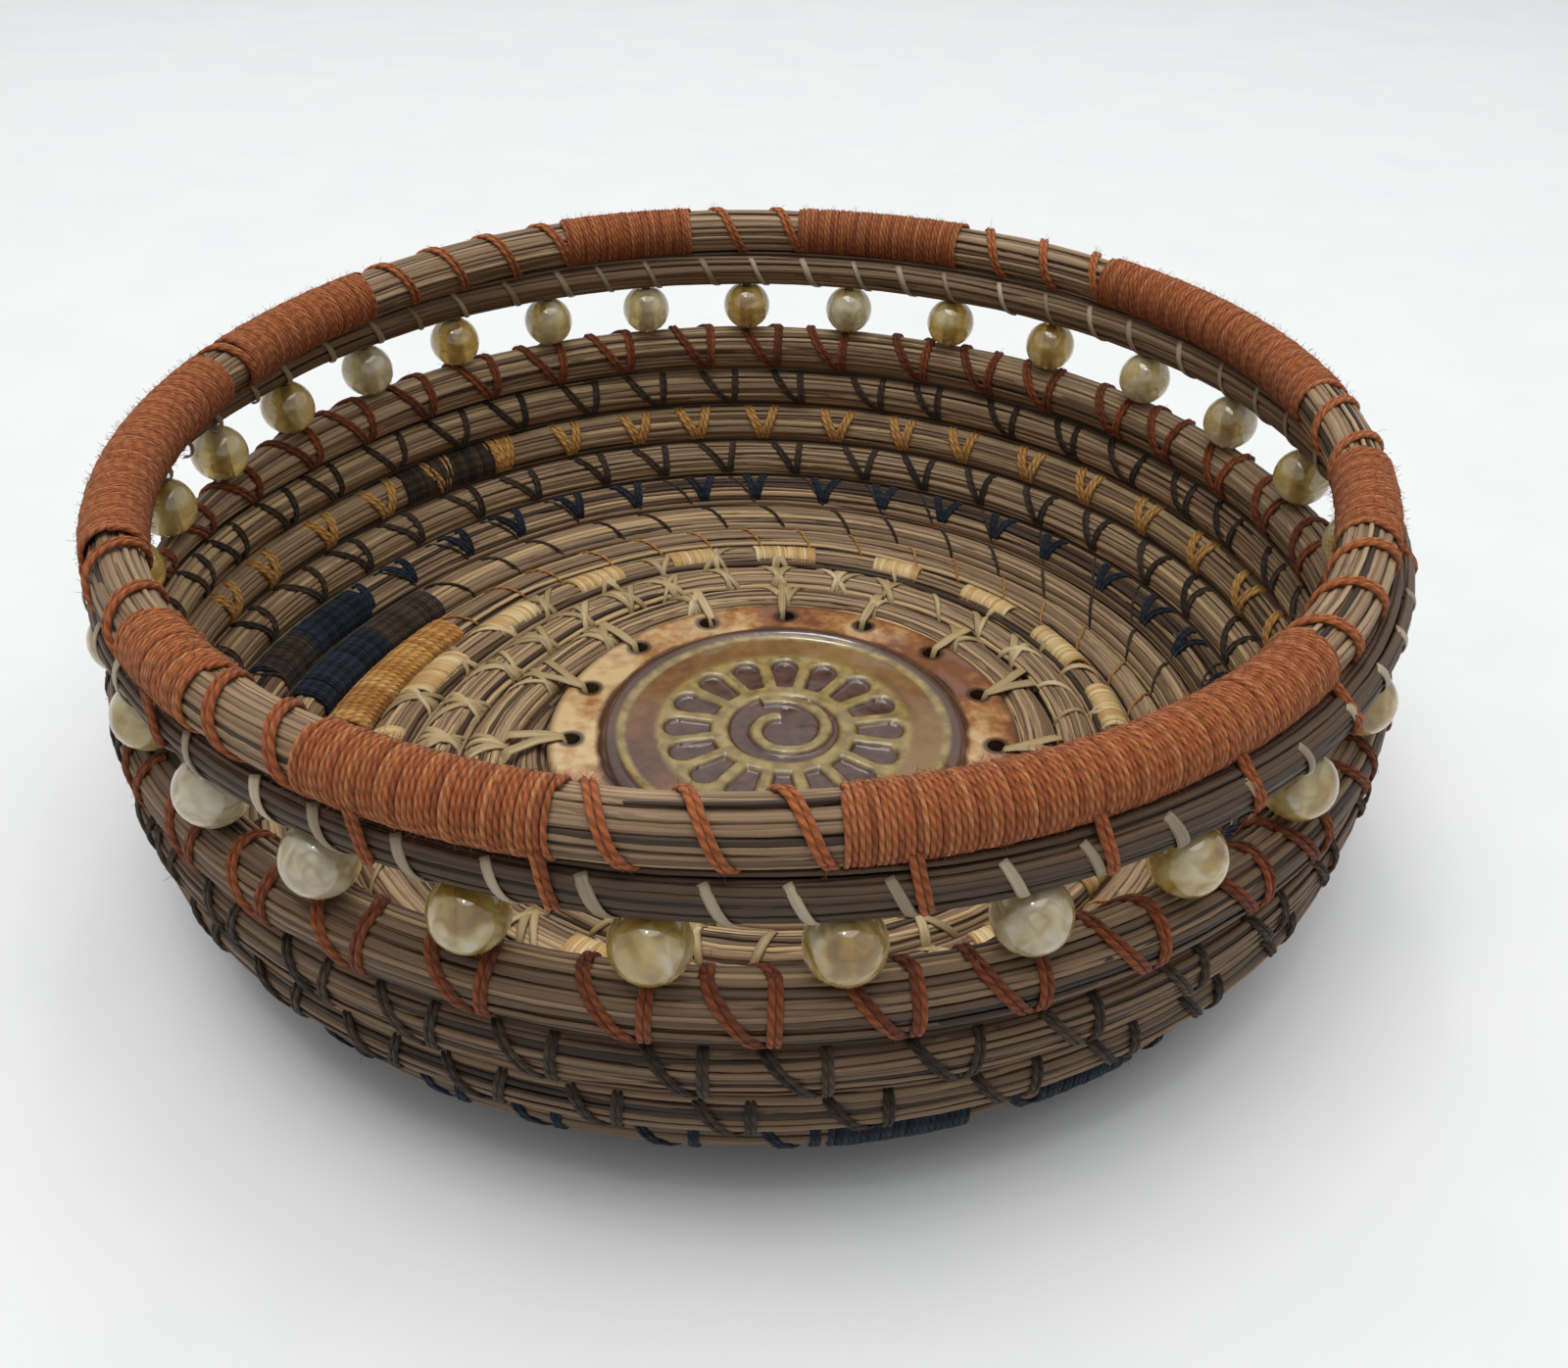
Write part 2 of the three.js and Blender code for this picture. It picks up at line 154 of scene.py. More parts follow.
# Driving dimensions: raffia
LACE_WIDTH, LACE_THICK = 0.0021, 0.0004
LACE_SPLAY = 0.1  # angle of a hole's second strand
LACE_AT_HOLE = 0.6  # share of its width
FERN_LEANS = (-0.46, -0.2, 0.04, 0.24, 0.48)  # of its leaves, as shares of the spacing
FERN_CROSSING = 0.7  # share of a leaf's lean that its foot may go the other way
FERN_DENSEST = radians(175)
FERN_CHAINS = 2 * LACING_HOLES  # on the second row and the third
FERN_SPAN = (0.98, -0.04)
LEAF_WIDTH, LEAF_THICK = 0.0015, 0.0006
LEAF_DIP = 0.0005  # of its ends, into the creases
GOLD_STRETCHES = 18
GOLD_LENGTHS = (7, 13)  # in degrees
GOLD_STRAND, GOLD_THICK = 0.0009, 0.0008
GOLD_SPAN = (0.76, 0.04)
STRIPS = 2 * BEADS
STRIP_OUTSIDE, STRIP_INSIDE = 0.0016, 0.0012  # widths
STRIP_THICK = 0.0004
STRIP_LIFT, DROP_LIFT = 0.0001, 0.0003  # of their middles, from the needles
STRIP_SLANT = 0.35  # of the spacing
STRIP_FROM, STRIP_SWEEP = 0.93, 0.75  # start and length round the coil, in half turns
THREAD_SINK = 0.001  # of a bead's thread into the coils

# Driving dimensions: rim yarn
WRAP_PITCH = 0.0007
WRAP_PLUMP = (1.1, 1.4)  # width over the pitch, and thickness over YARN
WRAP_POINTS, LOOSE_POINTS = 20, 28  # in one turn
WRAP_HAIRS, LOOSE_HAIRS = 22, 40  # on each turn
WRAP_HAIR, LOOSE_HAIR = 0.0011, 0.0015  # their lengths
LOOSE_PLY, LOOSE_THICK = 0.00095, 0.0009  # of loose turns and drops
DROP_STEP = radians(12.8)
DROP_TOP, DROP_LOW, DROP_FOOT = radians(105), radians(78), radians(112)  # round the coils
DROP_DRIFT = (radians(0.6), radians(0.9))  # sideways, of the last two

# Driving dimensions: details of the medallion
RELIEF_SOFT, EYE_SOFT = 0.0008, 0.0009  # width over which an edge runs down
SHOULDER_SOFT = 0.75 * SHOULDER_WIDTH
SPIRAL_FOOT = 0.0003  # on each side
HAND_UNEVEN = 0.00012
DRILL_PAST = (0.002, 0.003)  # of a hole's drill, below and above
SUN_WOBBLE, BAND_WOBBLE = 0.0006, 0.0008  # of the line between two glazes

# Where one glaze runs into the next: from and to, outward from an edge
SUN_RUN = (0.0019, 0.0009)  # of the sun
OLIVE_RUN = (-0.0026, -0.0018)  # of the shoulder, on its inside
RING_RUN = (-0.0011, -0.0003)
BAND_RUN = (-0.0004, 0.0006)  # of the shoulder, on its outside
EDGE_RUN = (-0.0016, -0.0004)  # of the medallion
HOLE_RUN = (0.0012, 0.0004)  # of a lacing hole's dark ring, pooled glaze and painted shade

# Sizes that follow from those and the frame
medallion_low, medallion_high = (np.array(c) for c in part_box("medallion"))
medallion_x = (medallion_low[0] + medallion_high[0]) / 2
medallion_radius = (medallion_high[0] - medallion_low[0]) / 2
lacing_reach = medallion_radius - LACING_INSET
band_top = medallion_low[2] + BAND_THICK
dish_top = band_top + SHOULDER_HEIGHT - DISH_DEPTH
floor_edge = medallion_radius + CLEARANCE - ROW_GAP / 2
floor_height = (FLOOR_ROW - ROW_GAP) / 2 - FOOT_CUT
bead_centres = [sum(np.array(c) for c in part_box("bead_%02d" % (i + 1))) / 2 for i in range(BEADS)]
wall_radius = float(np.hypot(*bead_centres[0][:2]))
bead_height = float(bead_centres[0][2])
wall_top = bead_height - BEAD_RADIUS - CLEARANCE
thin_height = bead_height + BEAD_RADIUS + CLEARANCE + THIN_COIL_RADIUS
thin_shell = THIN_COIL_RADIUS + RIM_SWELL
wrap_radius = THICK_COIL_RADIUS + RIM_SWELL + YARN / 2  # of the yarn's middle line
rim_reach = thin_shell + wrap_radius  # between the rim coils' middles


# Shapes of curves
def smooth(x):
    x = np.clip(x, 0, 1)
    return x * x * (3 - 2 * x)


def unit(vectors):
    return vectors / np.linalg.norm(vectors, axis=-1, keepdims=True)


def wander(x, period, count):
    """A smooth drift between about -1 and 1 for each of count strands: three waves of random phase."""
    total = 0
    for k in (1.0, 0.61, 0.37):
        total = total + np.sin(x * TAU / (period * k) + rng.uniform(0, TAU, (count, 1)))
    return total / 2.2


def polar(radius, angle, height, x=0.0):
    """Points at a radius and an angle round an upright axis: the basket's own, unless x moves it."""
    radius, angle, height, x = np.broadcast_arrays(radius, angle, height, x)
    return np.stack([x + radius * np.cos(angle), radius * np.sin(angle), height], -1)


def row_edge(row):
    """Distance from the medallion to a row's near edge, up the floor and the wall. Rows widen evenly."""
    widening = (WALL_ROW - FLOOR_ROW) / (ROWS - 1)
    return row * FLOOR_ROW + widening * row * (row - 1) / 2


def on_basket(angle, along, proud):
    """A point of the basket's floor or wall, proud of its middle surface towards the inside."""
    slope = np.clip((along - FLOOR_RUN) / CORNER_RADIUS, 0, pi / 2)
    wall = np.maximum(0, along - FLOOR_RUN - CORNER_RADIUS * pi / 2)
    reach = floor_edge + np.minimum(along, FLOOR_RUN) + (CORNER_RADIUS - proud) * np.sin(slope)
    height = floor_height + CORNER_RADIUS * (1 - np.cos(slope)) + wall + proud * np.cos(slope)
    offset = medallion_x * np.clip(1 - along / OFFSET_RUN, 0, 1)
    return polar(reach, angle, height, offset)


def thin_middle(angle):
    """Radius and height of the thin rim coil's middle line: a level circle over the wall."""
    return wall_radius, thin_height


def thick_middle(angle):
    """Radius and height of the thick rim coil's middle line, which lies on the thin coil all round."""
    oval = RIM_OVAL * np.cos(2 * (angle - RIM_OVAL_TURN))
    inset = THICK_COIL_INSET - RIM_LEAN * np.sin(angle) + oval
    return wall_radius - inset, thin_height + np.sqrt(rim_reach ** 2 - inset ** 2)


def round_rim(middle, angle, psi, reach):
    """Points round a rim coil, psi 0 being up and psi 90 degrees outward, and their directions out."""
    radius, height = middle(angle)
    points = polar(radius + reach * np.sin(psi), angle, height + reach * np.cos(psi))
    return points, unit(points - polar(radius, angle, height))


class Bundle:
    """A coil of needles in level rows, with a climb at the end of each row and tapered tails.

    Its needles' colour is scaled down on some coils and further on the outside, as painted shade. One that is
    sewn to another coil faces it."""

    def __init__(self, rows, edge, climb, place, facing, tone, painted_outside_shade):
        self.rows, self.edge, self.climb, self.place = rows, edge, climb, place
        self.facing, self.tone, self.painted_outside_shade = facing, tone, painted_outside_shade
        self.first = -climb * TAIL
        self.last = rows - climb + climb * TAIL

    def row_at(self, turns):
        """Number of the row there: a whole one, except in a climb."""
        whole = np.floor(turns)
        return whole + smooth((turns - whole - 1 + self.climb) / self.climb)

    def span(self, turns):
        """Near and far edge of the bundle there."""
        low = self.edge(np.maximum(0, self.row_at(turns)))
        high = self.edge(np.minimum(self.rows, self.row_at(turns + 1)))
        return low, high

    def half(self, turns):
        low, high = self.span(turns)
        return np.maximum((high - low - ROW_GAP) / 2, TAIL_HALF)

    def spot(self, turns, psi, reach):
        """A point round the coil: psi 0 is towards the next row and psi 90 degrees the outside."""
        low, high = self.span(turns)
        along = (low + high) / 2 + reach * np.cos(psi)
        return self.place(COIL_START + TAU * turns, along, -reach * np.sin(psi))


def rim_bundle(middle, section, facing, tone, painted_outside_shade):
    """One lapped turn of needles along a rim coil's middle line, facing the coil that it is sewn to."""
    def edge(row):
        return (row - 0.5) * (2 * section + ROW_GAP)

    def place(angle, along, proud):
        radius, height = middle(angle)
        return polar(radius - proud, angle, height + along)

    return Bundle(1, edge, RIM_CLIMB, place, facing, tone, painted_outside_shade)


# Painted shade: the rim coils' colours are scaled down, most on the thin coil under the thick one, and outer
# lanes are darkened for the shade on the outer faces.
coil = Bundle(ROWS, row_edge, COIL_CLIMB, on_basket, facing=None, tone=1, painted_outside_shade=0.5)
thin_coil = rim_bundle(thin_middle, THIN_COIL_RADIUS, facing=0, tone=0.62, painted_outside_shade=0.68)
thick_coil = rim_bundle(thick_middle, THICK_COIL_RADIUS, facing=pi, tone=0.9, painted_outside_shade=0)


# Meshes
MAP_BANDS = 96


class Strands:
    """Tubes gathered into one mesh. Each point keeps its way along and round its tube, and a tint."""

    def __init__(self, sides):
        self.sides = sides
        self.count = 0
        self.parts = defaultdict(list)

    def add(self, points, out, width, thick, tint):
        """Adds tubes through points (tubes, steps, 3), flat towards out, with widths and tints."""
        tubes, steps = points.shape[:2]
        forward = unit(np.gradient(points, axis=1))
        side = unit(np.cross(out, forward))
        up = np.cross(forward, side)
        tint = np.broadcast_to(tint, (tubes, steps))
        turn = TAU * np.arange(self.sides) / self.sides
        half_width = np.broadcast_to(width, (tubes, steps))[..., None, None] / 2
        half_thick = np.broadcast_to(thick, (tubes, steps))[..., None, None] / 2
        ring = half_width * np.cos(turn)[:, None] * side[:, :, None]
        ring = ring + half_thick * np.sin(turn)[:, None] * up[:, :, None]
        places = points[:, :, None] + ring
        places[..., 2] = np.maximum(places[..., 2], TABLE_CLEAR)
        length = np.linalg.norm(np.diff(points, axis=1), axis=2)
        along = np.concatenate([np.zeros((tubes, 1)), np.cumsum(length, 1)], 1)
        lay = np.stack(np.broadcast_arrays(along[:, :, None], np.cos(turn), np.sin(turn)), -1)
        index = self.count + np.arange(tubes * steps * self.sides).reshape(tubes, steps, self.sides)
        beside = np.roll(index, -1, axis=2)
        quads = np.stack([index[:, :-1], beside[:, :-1], beside[:, 1:], index[:, 1:]], -1)
        self.parts["co"].append(places.reshape(-1, 3))
        self.parts["lay"].append(lay.reshape(-1, 3))
        self.parts["tint"].append(np.repeat(tint, self.sides))
        self.parts["quads"].append(quads.reshape(-1, 4))
        self.parts["caps"] += [index[:, 0, ::-1], index[:, -1]]
        self.lay_out(tint.mean(1), steps)
        self.count += index.size

    def lay_out(self, tint, steps):
        """Unrolls each tube into a band of the bake's picture. Tubes of like tint share a band."""
        band = np.floor(np.clip(tint, 0, 0.999) * MAP_BANDS)[:, None, None]
        along = (np.arange(steps) / (steps - 1))[None, :, None]
        round_it = (band + 0.1 + 0.8 * np.arange(self.sides + 1) / self.sides) / MAP_BANDS
        spots = np.stack(np.broadcast_arrays(along, round_it), -1)
        corners = [spots[:, :-1, :-1], spots[:, :-1, 1:], spots[:, 1:, 1:], spots[:, 1:, :-1]]
        self.parts["quad_map"].append(np.stack(corners, 3).reshape(-1, 2))
        self.parts["cap_map"] += [spots[:, 0, :-1][:, ::-1].reshape(-1, 2), spots[:, -1, :-1].reshape(-1, 2)]

    def piece(self, name, finish):
        parts = {key: np.concatenate(value) for key, value in self.parts.items()}
        piece = mesh_piece(name, finish, parts["co"], [parts["quads"], parts["caps"]],
                           {"lay": parts["lay"], "tint": parts["tint"]})
        spots = np.concatenate([parts["quad_map"], parts["cap_map"]]).astype(np.float32)
        piece.data.uv_layers.new(name="OFBake").uv.foreach_set("vector", spots.reshape(-1))
        return piece


def linked(name, data):
    """An object of the scene with a mesh, a camera or a lamp."""
    piece = bpy.data.objects.new(name, data)
    bpy.context.collection.objects.link(piece)
    return piece


def mesh_piece(name, finish, places, face_groups, attributes):
    """A smooth mesh from places of points, groups of faces with as many corners, and attributes."""
    mesh = bpy.data.meshes.new(name)
    corners = np.concatenate([g.reshape(-1) for g in face_groups])
    sizes = np.concatenate([np.full(len(g), g.shape[1]) for g in face_groups])
    mesh.vertices.add(len(places))
    mesh.vertices.foreach_set("co", places.astype(np.float32).reshape(-1))
    mesh.loops.add(len(corners))
    mesh.loops.foreach_set("vertex_index", corners.astype(np.int32))
    mesh.polygons.add(len(sizes))
    mesh.polygons.foreach_set("loop_start", (np.cumsum(sizes) - sizes).astype(np.int32))
    mesh.polygons.foreach_set("use_smooth", np.ones(len(sizes), bool))
    for key, values in attributes.items():
        kind, field = ("FLOAT_VECTOR", "vector") if values.ndim == 2 else ("FLOAT", "value")
        layer = mesh.attributes.new(key, kind, "POINT")
        layer.data.foreach_set(field, values.astype(np.float32).reshape(-1))
    mesh.update(calc_edges=True)
    mesh.materials.append(finish)
    return linked(name, mesh)


# Materials
def srgb(red, green, blue):
    linear = [((c / 255 + 0.055) / 1.055) ** 2.4 if c > 10 else c / 3295 for c in (red, green, blue)]
    return (*linear, 1.0)


class Finish:
    """A material's or a world's nodes: add makes a node, with inputs given as values or as outputs."""

    def __init__(self, name, made_in=bpy.data.materials, shader="Principled BSDF"):
        self.material = made_in.new(name)
        self.material.use_nodes = True
        self.tree = self.material.node_tree
        self.shader = self.tree.nodes[shader]

    def add(self, kind, inputs=None, **settings):
        node = self.tree.nodes.new("ShaderNode" + kind)
        for key, value in settings.items():
            setattr(node, key, value)
        for key, value in (inputs or {}).items():
            self.set(node, key, value)
        return node

    def set(self, node, key, value):
        if isinstance(value, bpy.types.NodeSocket):
            self.tree.links.new(value, node.inputs[key])
        else:
            node.inputs[key].default_value = value

    def shade(self, **inputs):
        for key, value in inputs.items():
            self.set(self.shader, key.replace("_", " "), value)

    def ramp(self, value, stops):
        node = self.add("ValToRGB", {"Fac": value})
        while len(node.color_ramp.elements) < len(stops):
            node.color_ramp.elements.new(0.5)
        for element, (place, colour) in zip(node.color_ramp.elements, stops):
            element.position = place
            element.color = srgb(*colour)
        return node.outputs["Color"]

    def math(self, operation, a, b=0.0):
        return self.add("Math", {0: a, 1: b}, operation=operation).outputs[0]

    def plus(self, a, b):
        return self.math("ADD", a, b)

    def times(self, a, b):
        return self.math("MULTIPLY", a, b)

    def hypot(self, a, b):
        return self.math("SQRT", self.plus(self.math("POWER", a, 2.0), self.math("POWER", b, 2.0)))

    def mix(self, factor, a, b, blend="MIX"):
        return self.add("Mix", {0: factor, 6: a, 7: b}, data_type="RGBA", blend_type=blend).outputs[2]

    def noise(self, vector, scale, detail, w=None):
        inputs = {"Vector": vector, "Scale": scale, "Detail": detail}
        if w is not None:
            inputs["W"] = w
        return self.add("TexNoise", inputs, noise_dimensions="3D" if w is None else "4D").outputs["Fac"]

    def spread(self, value, low, high, to_low=0.0, to_high=1.0):
        return self.add("MapRange", {0: value, 1: low, 2: high, 3: to_low, 4: to_high}).outputs[0]

    def bump(self, height, distance, strength=1.0):
        node = self.add("Bump", {"Height": height, "Distance": distance, "Strength": strength})
        self.set(self.shader, "Normal", node.outputs["Normal"])


def strand_finish(name, stops, streak_length, streaks, contrast, bump, rough, twist=None, **shine):
    """A fibre: a colour for each strand by its tint, with streaks along it. A twist makes it two plies, with
    painted shade in the grooves between them.
    """
    f = Finish(name)
    lay = f.add("Attribute", attribute_name="lay").outputs["Vector"]
    tint = f.add("Attribute", attribute_name="tint").outputs["Fac"]
    if twist:
        along = f.add("SeparateXYZ", {"Vector": lay}).outputs["X"]
        angle = f.times(along, TAU / twist)
        lay = f.add("VectorRotate", {"Vector": lay, "Angle": angle}, rotation_type="X_AXIS").outputs[0]
    stretched = f.add("VectorMath", {0: lay, 1: (1 / streak_length, streaks, streaks)},
                      operation="MULTIPLY").outputs[0]
    seed = f.times(tint, 57.0)
    height = f.spread(f.noise(stretched, 1.0, 3.0, seed), 0.3, 0.7)
    if twist:
        ply = f.math("POWER", f.add("SeparateXYZ", {"Vector": lay}).outputs["Y"], 2.0)
        height = f.plus(f.times(ply, 0.6), f.times(height, 0.4))
    # Low heights darken the colour: the fibre's streaks, and on a twist also painted shade between the plies.
    shade = f.ramp(height, [(0, (round(255 * (1 - contrast)),) * 3), (1, (255, 255, 255))])
    f.shade(Base_Color=f.mix(1.0, f.ramp(tint, stops), shade, "MULTIPLY"))
    f.shade(Roughness=f.spread(height, 0, 1, rough[1], rough[0]), **shine)
    f.bump(height, bump)
    return f.material


def needle_finish(name, stops):
    return strand_finish(
        name, stops, streak_length=0.03, streaks=1.6, contrast=0.24, bump=0.00008, rough=(0.42, 0.62),
        Specular_IOR_Level=0.3)


def yarn_finish(name, stops):
    return strand_finish(
        name, stops, streak_length=0.004, streaks=2.6, contrast=0.42, bump=0.0003, rough=(0.8, 0.95),
        twist=0.0034, Specular_IOR_Level=0.15, Sheen_Weight=0.1, Sheen_Roughness=0.5)


def raffia_finish(name, stops):
    return strand_finish(
        name, stops, streak_length=0.015, streaks=3.5, contrast=0.18, bump=0.00006, rough=(0.35, 0.55),
        Specular_IOR_Level=0.5)


NEEDLE_COLOURS = [(0, (36, 26, 18)), (0.1, (78, 59, 43)), (0.35, (124, 98, 73)), (0.62, (160, 131, 100)),
                  (0.88, (186, 157, 122)), (1, (214, 182, 134))]
needles = needle_finish("pine_needles", NEEDLE_COLOURS)
rim_needles = needle_finish("rim_pine_needles", NEEDLE_COLOURS)
rust = yarn_finish("rust_yarn", [(0, (112, 58, 36)), (0.4, (168, 90, 50)), (0.7, (206, 118, 66)),
                                 (1, (228, 150, 94))])
brown = yarn_finish("brown_thread", [(0, (60, 47, 37)), (1, (96, 78, 62))])
navy = yarn_finish("navy_thread", [(0, (22, 28, 40)), (1, (46, 56, 74))])
ochre = yarn_finish("ochre_thread", [(0, (202, 138, 68)), (0.5, (230, 164, 86)), (1, (244, 190, 112))])
raffia = raffia_finish("raffia", [(0, (150, 124, 84)), (0.6, (188, 162, 116)), (1, (218, 194, 148))])
gold = raffia_finish("gold_raffia", [(0, (200, 156, 92)), (0.6, (226, 192, 132)), (1, (244, 222, 172))])
strip = raffia_finish("rim_strip", [(0, (146, 128, 102)), (1, (200, 184, 154))])


def bead_finish():
    """Polished glass with milky, amber and clear swirls, which differ from bead to bead."""
    f = Finish("swirled_glass")
    lay = f.add("Attribute", attribute_name="lay").outputs["Vector"]
    tint = f.add("Attribute", attribute_name="tint").outputs["Fac"]
    seed = f.times(tint, 31.0)
    bend = f.noise(lay, 0.9, 1.0, seed)
    bent = f.add("VectorMath", {0: lay, 1: f.times(bend, 2.5)}, operation="ADD").outputs[0]
    swirl = f.noise(bent, 0.8, 2.0, seed)
    value = f.plus(swirl, f.spread(tint, 0, 1, -0.1, 0.1))
    colour = f.ramp(value, [(0.3, (210, 201, 172)), (0.42, (204, 188, 140)), (0.52, (202, 176, 104)),
                            (0.62, (190, 154, 74)), (0.76, (154, 118, 62))])
    vein = f.math("ABSOLUTE", f.math("SUBTRACT", f.noise(lay, 0.9, 2.0, f.plus(seed, 7.0)), 0.45))
    colour = f.mix(f.spread(vein, 0.04, 0.0, 0.0, 0.45), colour, srgb(156, 118, 66))
    f.shade(Base_Color=colour, Roughness=0.03, IOR=1.55, Coat_Weight=0.6, Coat_IOR=1.6)
    f.shade(Transmission_Weight=f.spread(swirl, 0.35, 0.6, 0.2, 0.6))
    return f.material


def glaze_run(f, radius, edge, run):
    """0 to 1 over the way in which one glaze runs into the next, near an edge at some radius."""
    return f.spread(radius, edge + run[0], edge + run[1])


def hole_pool_and_shade(f, x, y, radius):
    """1 at the edge of a lacing hole, fading out round it, where the glaze pools and painted shade makes the
    hole look wider.
    """
    turn = f.times(f.math("ARCTAN2", y, x), LACING_HOLES / TAU)
    share = f.math("SUBTRACT", f.math("FRACT", f.plus(turn, 0.5 - LACING_HOLES / 4)), 0.5)
    across = f.times(f.times(share, TAU / LACING_HOLES), radius)
    beyond = f.math("SUBTRACT", radius, lacing_reach)
    return glaze_run(f, f.hypot(across, beyond), LACING_HOLE_RADIUS, HOLE_RUN)


def glaze_finish():
    """Glaze that breaks from cream to rust on the band and lies dark in the hollows of the relief."""
    f = Finish("glazed_clay")
    place = f.add("TexCoord").outputs["Object"]
    centred = f.add("VectorMath", {0: place, 1: (medallion_x, 0, 0)}, operation="SUBTRACT").outputs[0]
    split = f.add("SeparateXYZ", {"Vector": centred})
    x, y, z = (split.outputs[k] for k in "XYZ")
    radius = f.hypot(x, y)
    mottle = f.noise(centred, 90.0, 4.0)
    fine = f.noise(centred, 420.0, 3.0)
    patch = f.noise(centred, 45.0, 2.0)
    side = f.spread(f.plus(x, f.times(y, 0.6)), -0.04, 0.04, 0.16, -0.1)
    speckle = f.spread(fine, 0.35, 0.65, -0.07, 0.07)
    band = f.ramp(f.plus(f.plus(mottle, speckle), side), [
        (0.36, (124, 77, 47)), (0.47, (158, 107, 65)), (0.57, (186, 146, 98)), (0.72, (210, 180, 132))])
    dish = f.ramp(f.plus(patch, f.times(fine, 0.3)), [
        (0.48, (86, 56, 40)), (0.62, (116, 78, 47)), (0.8, (138, 106, 58))])
    ring = f.ramp(mottle, [(0.35, (70, 45, 35)), (0.65, (95, 65, 47))])
    olive = f.ramp(fine, [(0.35, (124, 105, 58)), (0.65, (164, 141, 85))])
    hollow = f.ramp(fine, [(0.35, (68, 45, 37)), (0.65, (94, 64, 50))])
    raised = f.spread(z, dish_top - RELIEF_DEPTH * 0.75, dish_top - RELIEF_DEPTH * 0.2)
    wobble = f.plus(radius, f.spread(fine, 0.3, 0.7, -SUN_WOBBLE, SUN_WOBBLE))
    in_sun = glaze_run(f, wobble, SUN_OUTER, SUN_RUN)
    inner = f.mix(in_sun, dish, f.mix(raised, hollow, olive))
    lip = SHOULDER_RADIUS - SHOULDER_WIDTH
    inner = f.mix(glaze_run(f, radius, lip, OLIVE_RUN), inner, olive)
    inner = f.mix(glaze_run(f, radius, lip, RING_RUN), inner, ring)
    wobble = f.plus(radius, f.spread(mottle, 0.3, 0.7, -BAND_WOBBLE, BAND_WOBBLE))
    colour = f.mix(glaze_run(f, wobble, SHOULDER_RADIUS, BAND_RUN), inner, band)
    edge = glaze_run(f, radius, medallion_radius, EDGE_RUN)
    colour = f.mix(f.times(edge, 0.6), colour, srgb(84, 52, 36))
    # Dark round the holes: pooled glaze, and painted shade of the hole.
    colour = f.mix(f.times(hole_pool_and_shade(f, x, y, radius), 0.9), colour, srgb(50, 31, 22))
    f.shade(Base_Color=colour, Roughness=f.spread(fine, 0.3, 0.7, 0.14, 0.26))
    f.shade(Coat_Weight=0.55, Coat_Roughness=0.04)
    f.bump(fine, 0.00008, 0.5)
    return f.material


# Needles
def lay_needles(bundle, turn_length, lanes):
    """Lays needles end to end in lanes round a coil, over a dark core that is painted shade. Returns strands
    for each row.
    """
    rows = [Strands(6) for _ in range(bundle.rows)]
    steps = np.linspace(0, 1, 36)
    outer = [(lane / lanes, 0.0) for lane in range(lanes)]
    under = [((lane + 0.5) / lanes, UNDER_LAYER) for lane in range(lanes)]
    for lane, sunk in under + outer:
        at = bundle.first - rng.uniform(0, NEEDLE_LENGTHS[1]) / turn_length(bundle.first)
        while at < bundle.last:
            length = rng.uniform(*NEEDLE_LENGTHS) / turn_length(at)
            ends = max(at, bundle.first), min(at + length, bundle.last)
            if ends[1] - ends[0] > 0.1 * length:
                row = int(np.clip(ends[0], 0, bundle.rows - 1))
                turns = ends[0] + (ends[1] - ends[0]) * steps[None]
                lay_needle(rows[row], bundle, turns, lane + rng.normal(0, 0.2) / lanes, sunk)
            at += length * NEEDLE_STEP
    for row, strands in enumerate(rows):
        low = bundle.first if row == 0 else row
        high = bundle.last if row == bundle.rows - 1 else row + 1.002
        lay_shade_core(strands, bundle, np.linspace(low, high, 96)[None], row < bundle.rows - 1)
    return rows


def lay_needle(strands, bundle, turns, lane, sunk):
    """One needle: it wanders a little in its lane, and its ends tuck in under its neighbours."""
    share = np.linspace(-1, 1, turns.shape[1])
    half = bundle.half(turns)
    size = np.minimum(1, half / (0.4 * FLOOR_ROW)) if bundle.rows > 1 else half / half.max()
    psi = TAU * lane + rng.normal(0, 0.08) * share + 0.06 * wander(turns, 0.23, 1)
    tuck = np.exp(-((1 - np.abs(share)) * 12) ** 2)
    proud = rng.uniform(*NEEDLE_DEPTHS) - sunk + 0.00008 * wander(turns, 0.11, 1) - NEEDLE_TUCK * tuck
    width = NEEDLE_WIDTH * rng.uniform(0.7, 1.25) * size * (1 - 0.5 * tuck)
    if bundle.facing is None:
        shell = half + SWELL * np.sin(psi) ** 2 + (ROW_GAP / 2 + ROW_PRESS) * np.cos(psi) ** 2
    else:
        shell = half + RIM_SWELL + RIM_PRESS * np.clip(np.cos(psi - bundle.facing), 0, 1) ** 2
    reach = shell + proud * size - width * NEEDLE_FLATNESS / 2
    points = bundle.spot(turns, psi, reach)
    out = unit(points - bundle.spot(turns, psi, 0))
    # Outer lanes, which are darkened below as painted shade.
    outside = smooth(0.5 + 1.5 * math.sin(TAU * lane))
    kind = rng.uniform()
    tint = np.clip(rng.normal(0.66, 0.2), 0.15, 0.95)
    # Dark needles here are painted shade for the gaps between needles.
    tint = 1.0 if kind < PALE_NEEDLES else 0.1 * tint if kind > 1 - GAP_SHADE_NEEDLES else tint
    # Painted shade: the coil's colour scaled down, and more on its outer lanes.
    tint = tint * bundle.tone * (1 - bundle.painted_outside_shade * outside)
    strands.add(points, out, width, width * NEEDLE_FLATNESS, tint - 0.3 * tuck * tint)


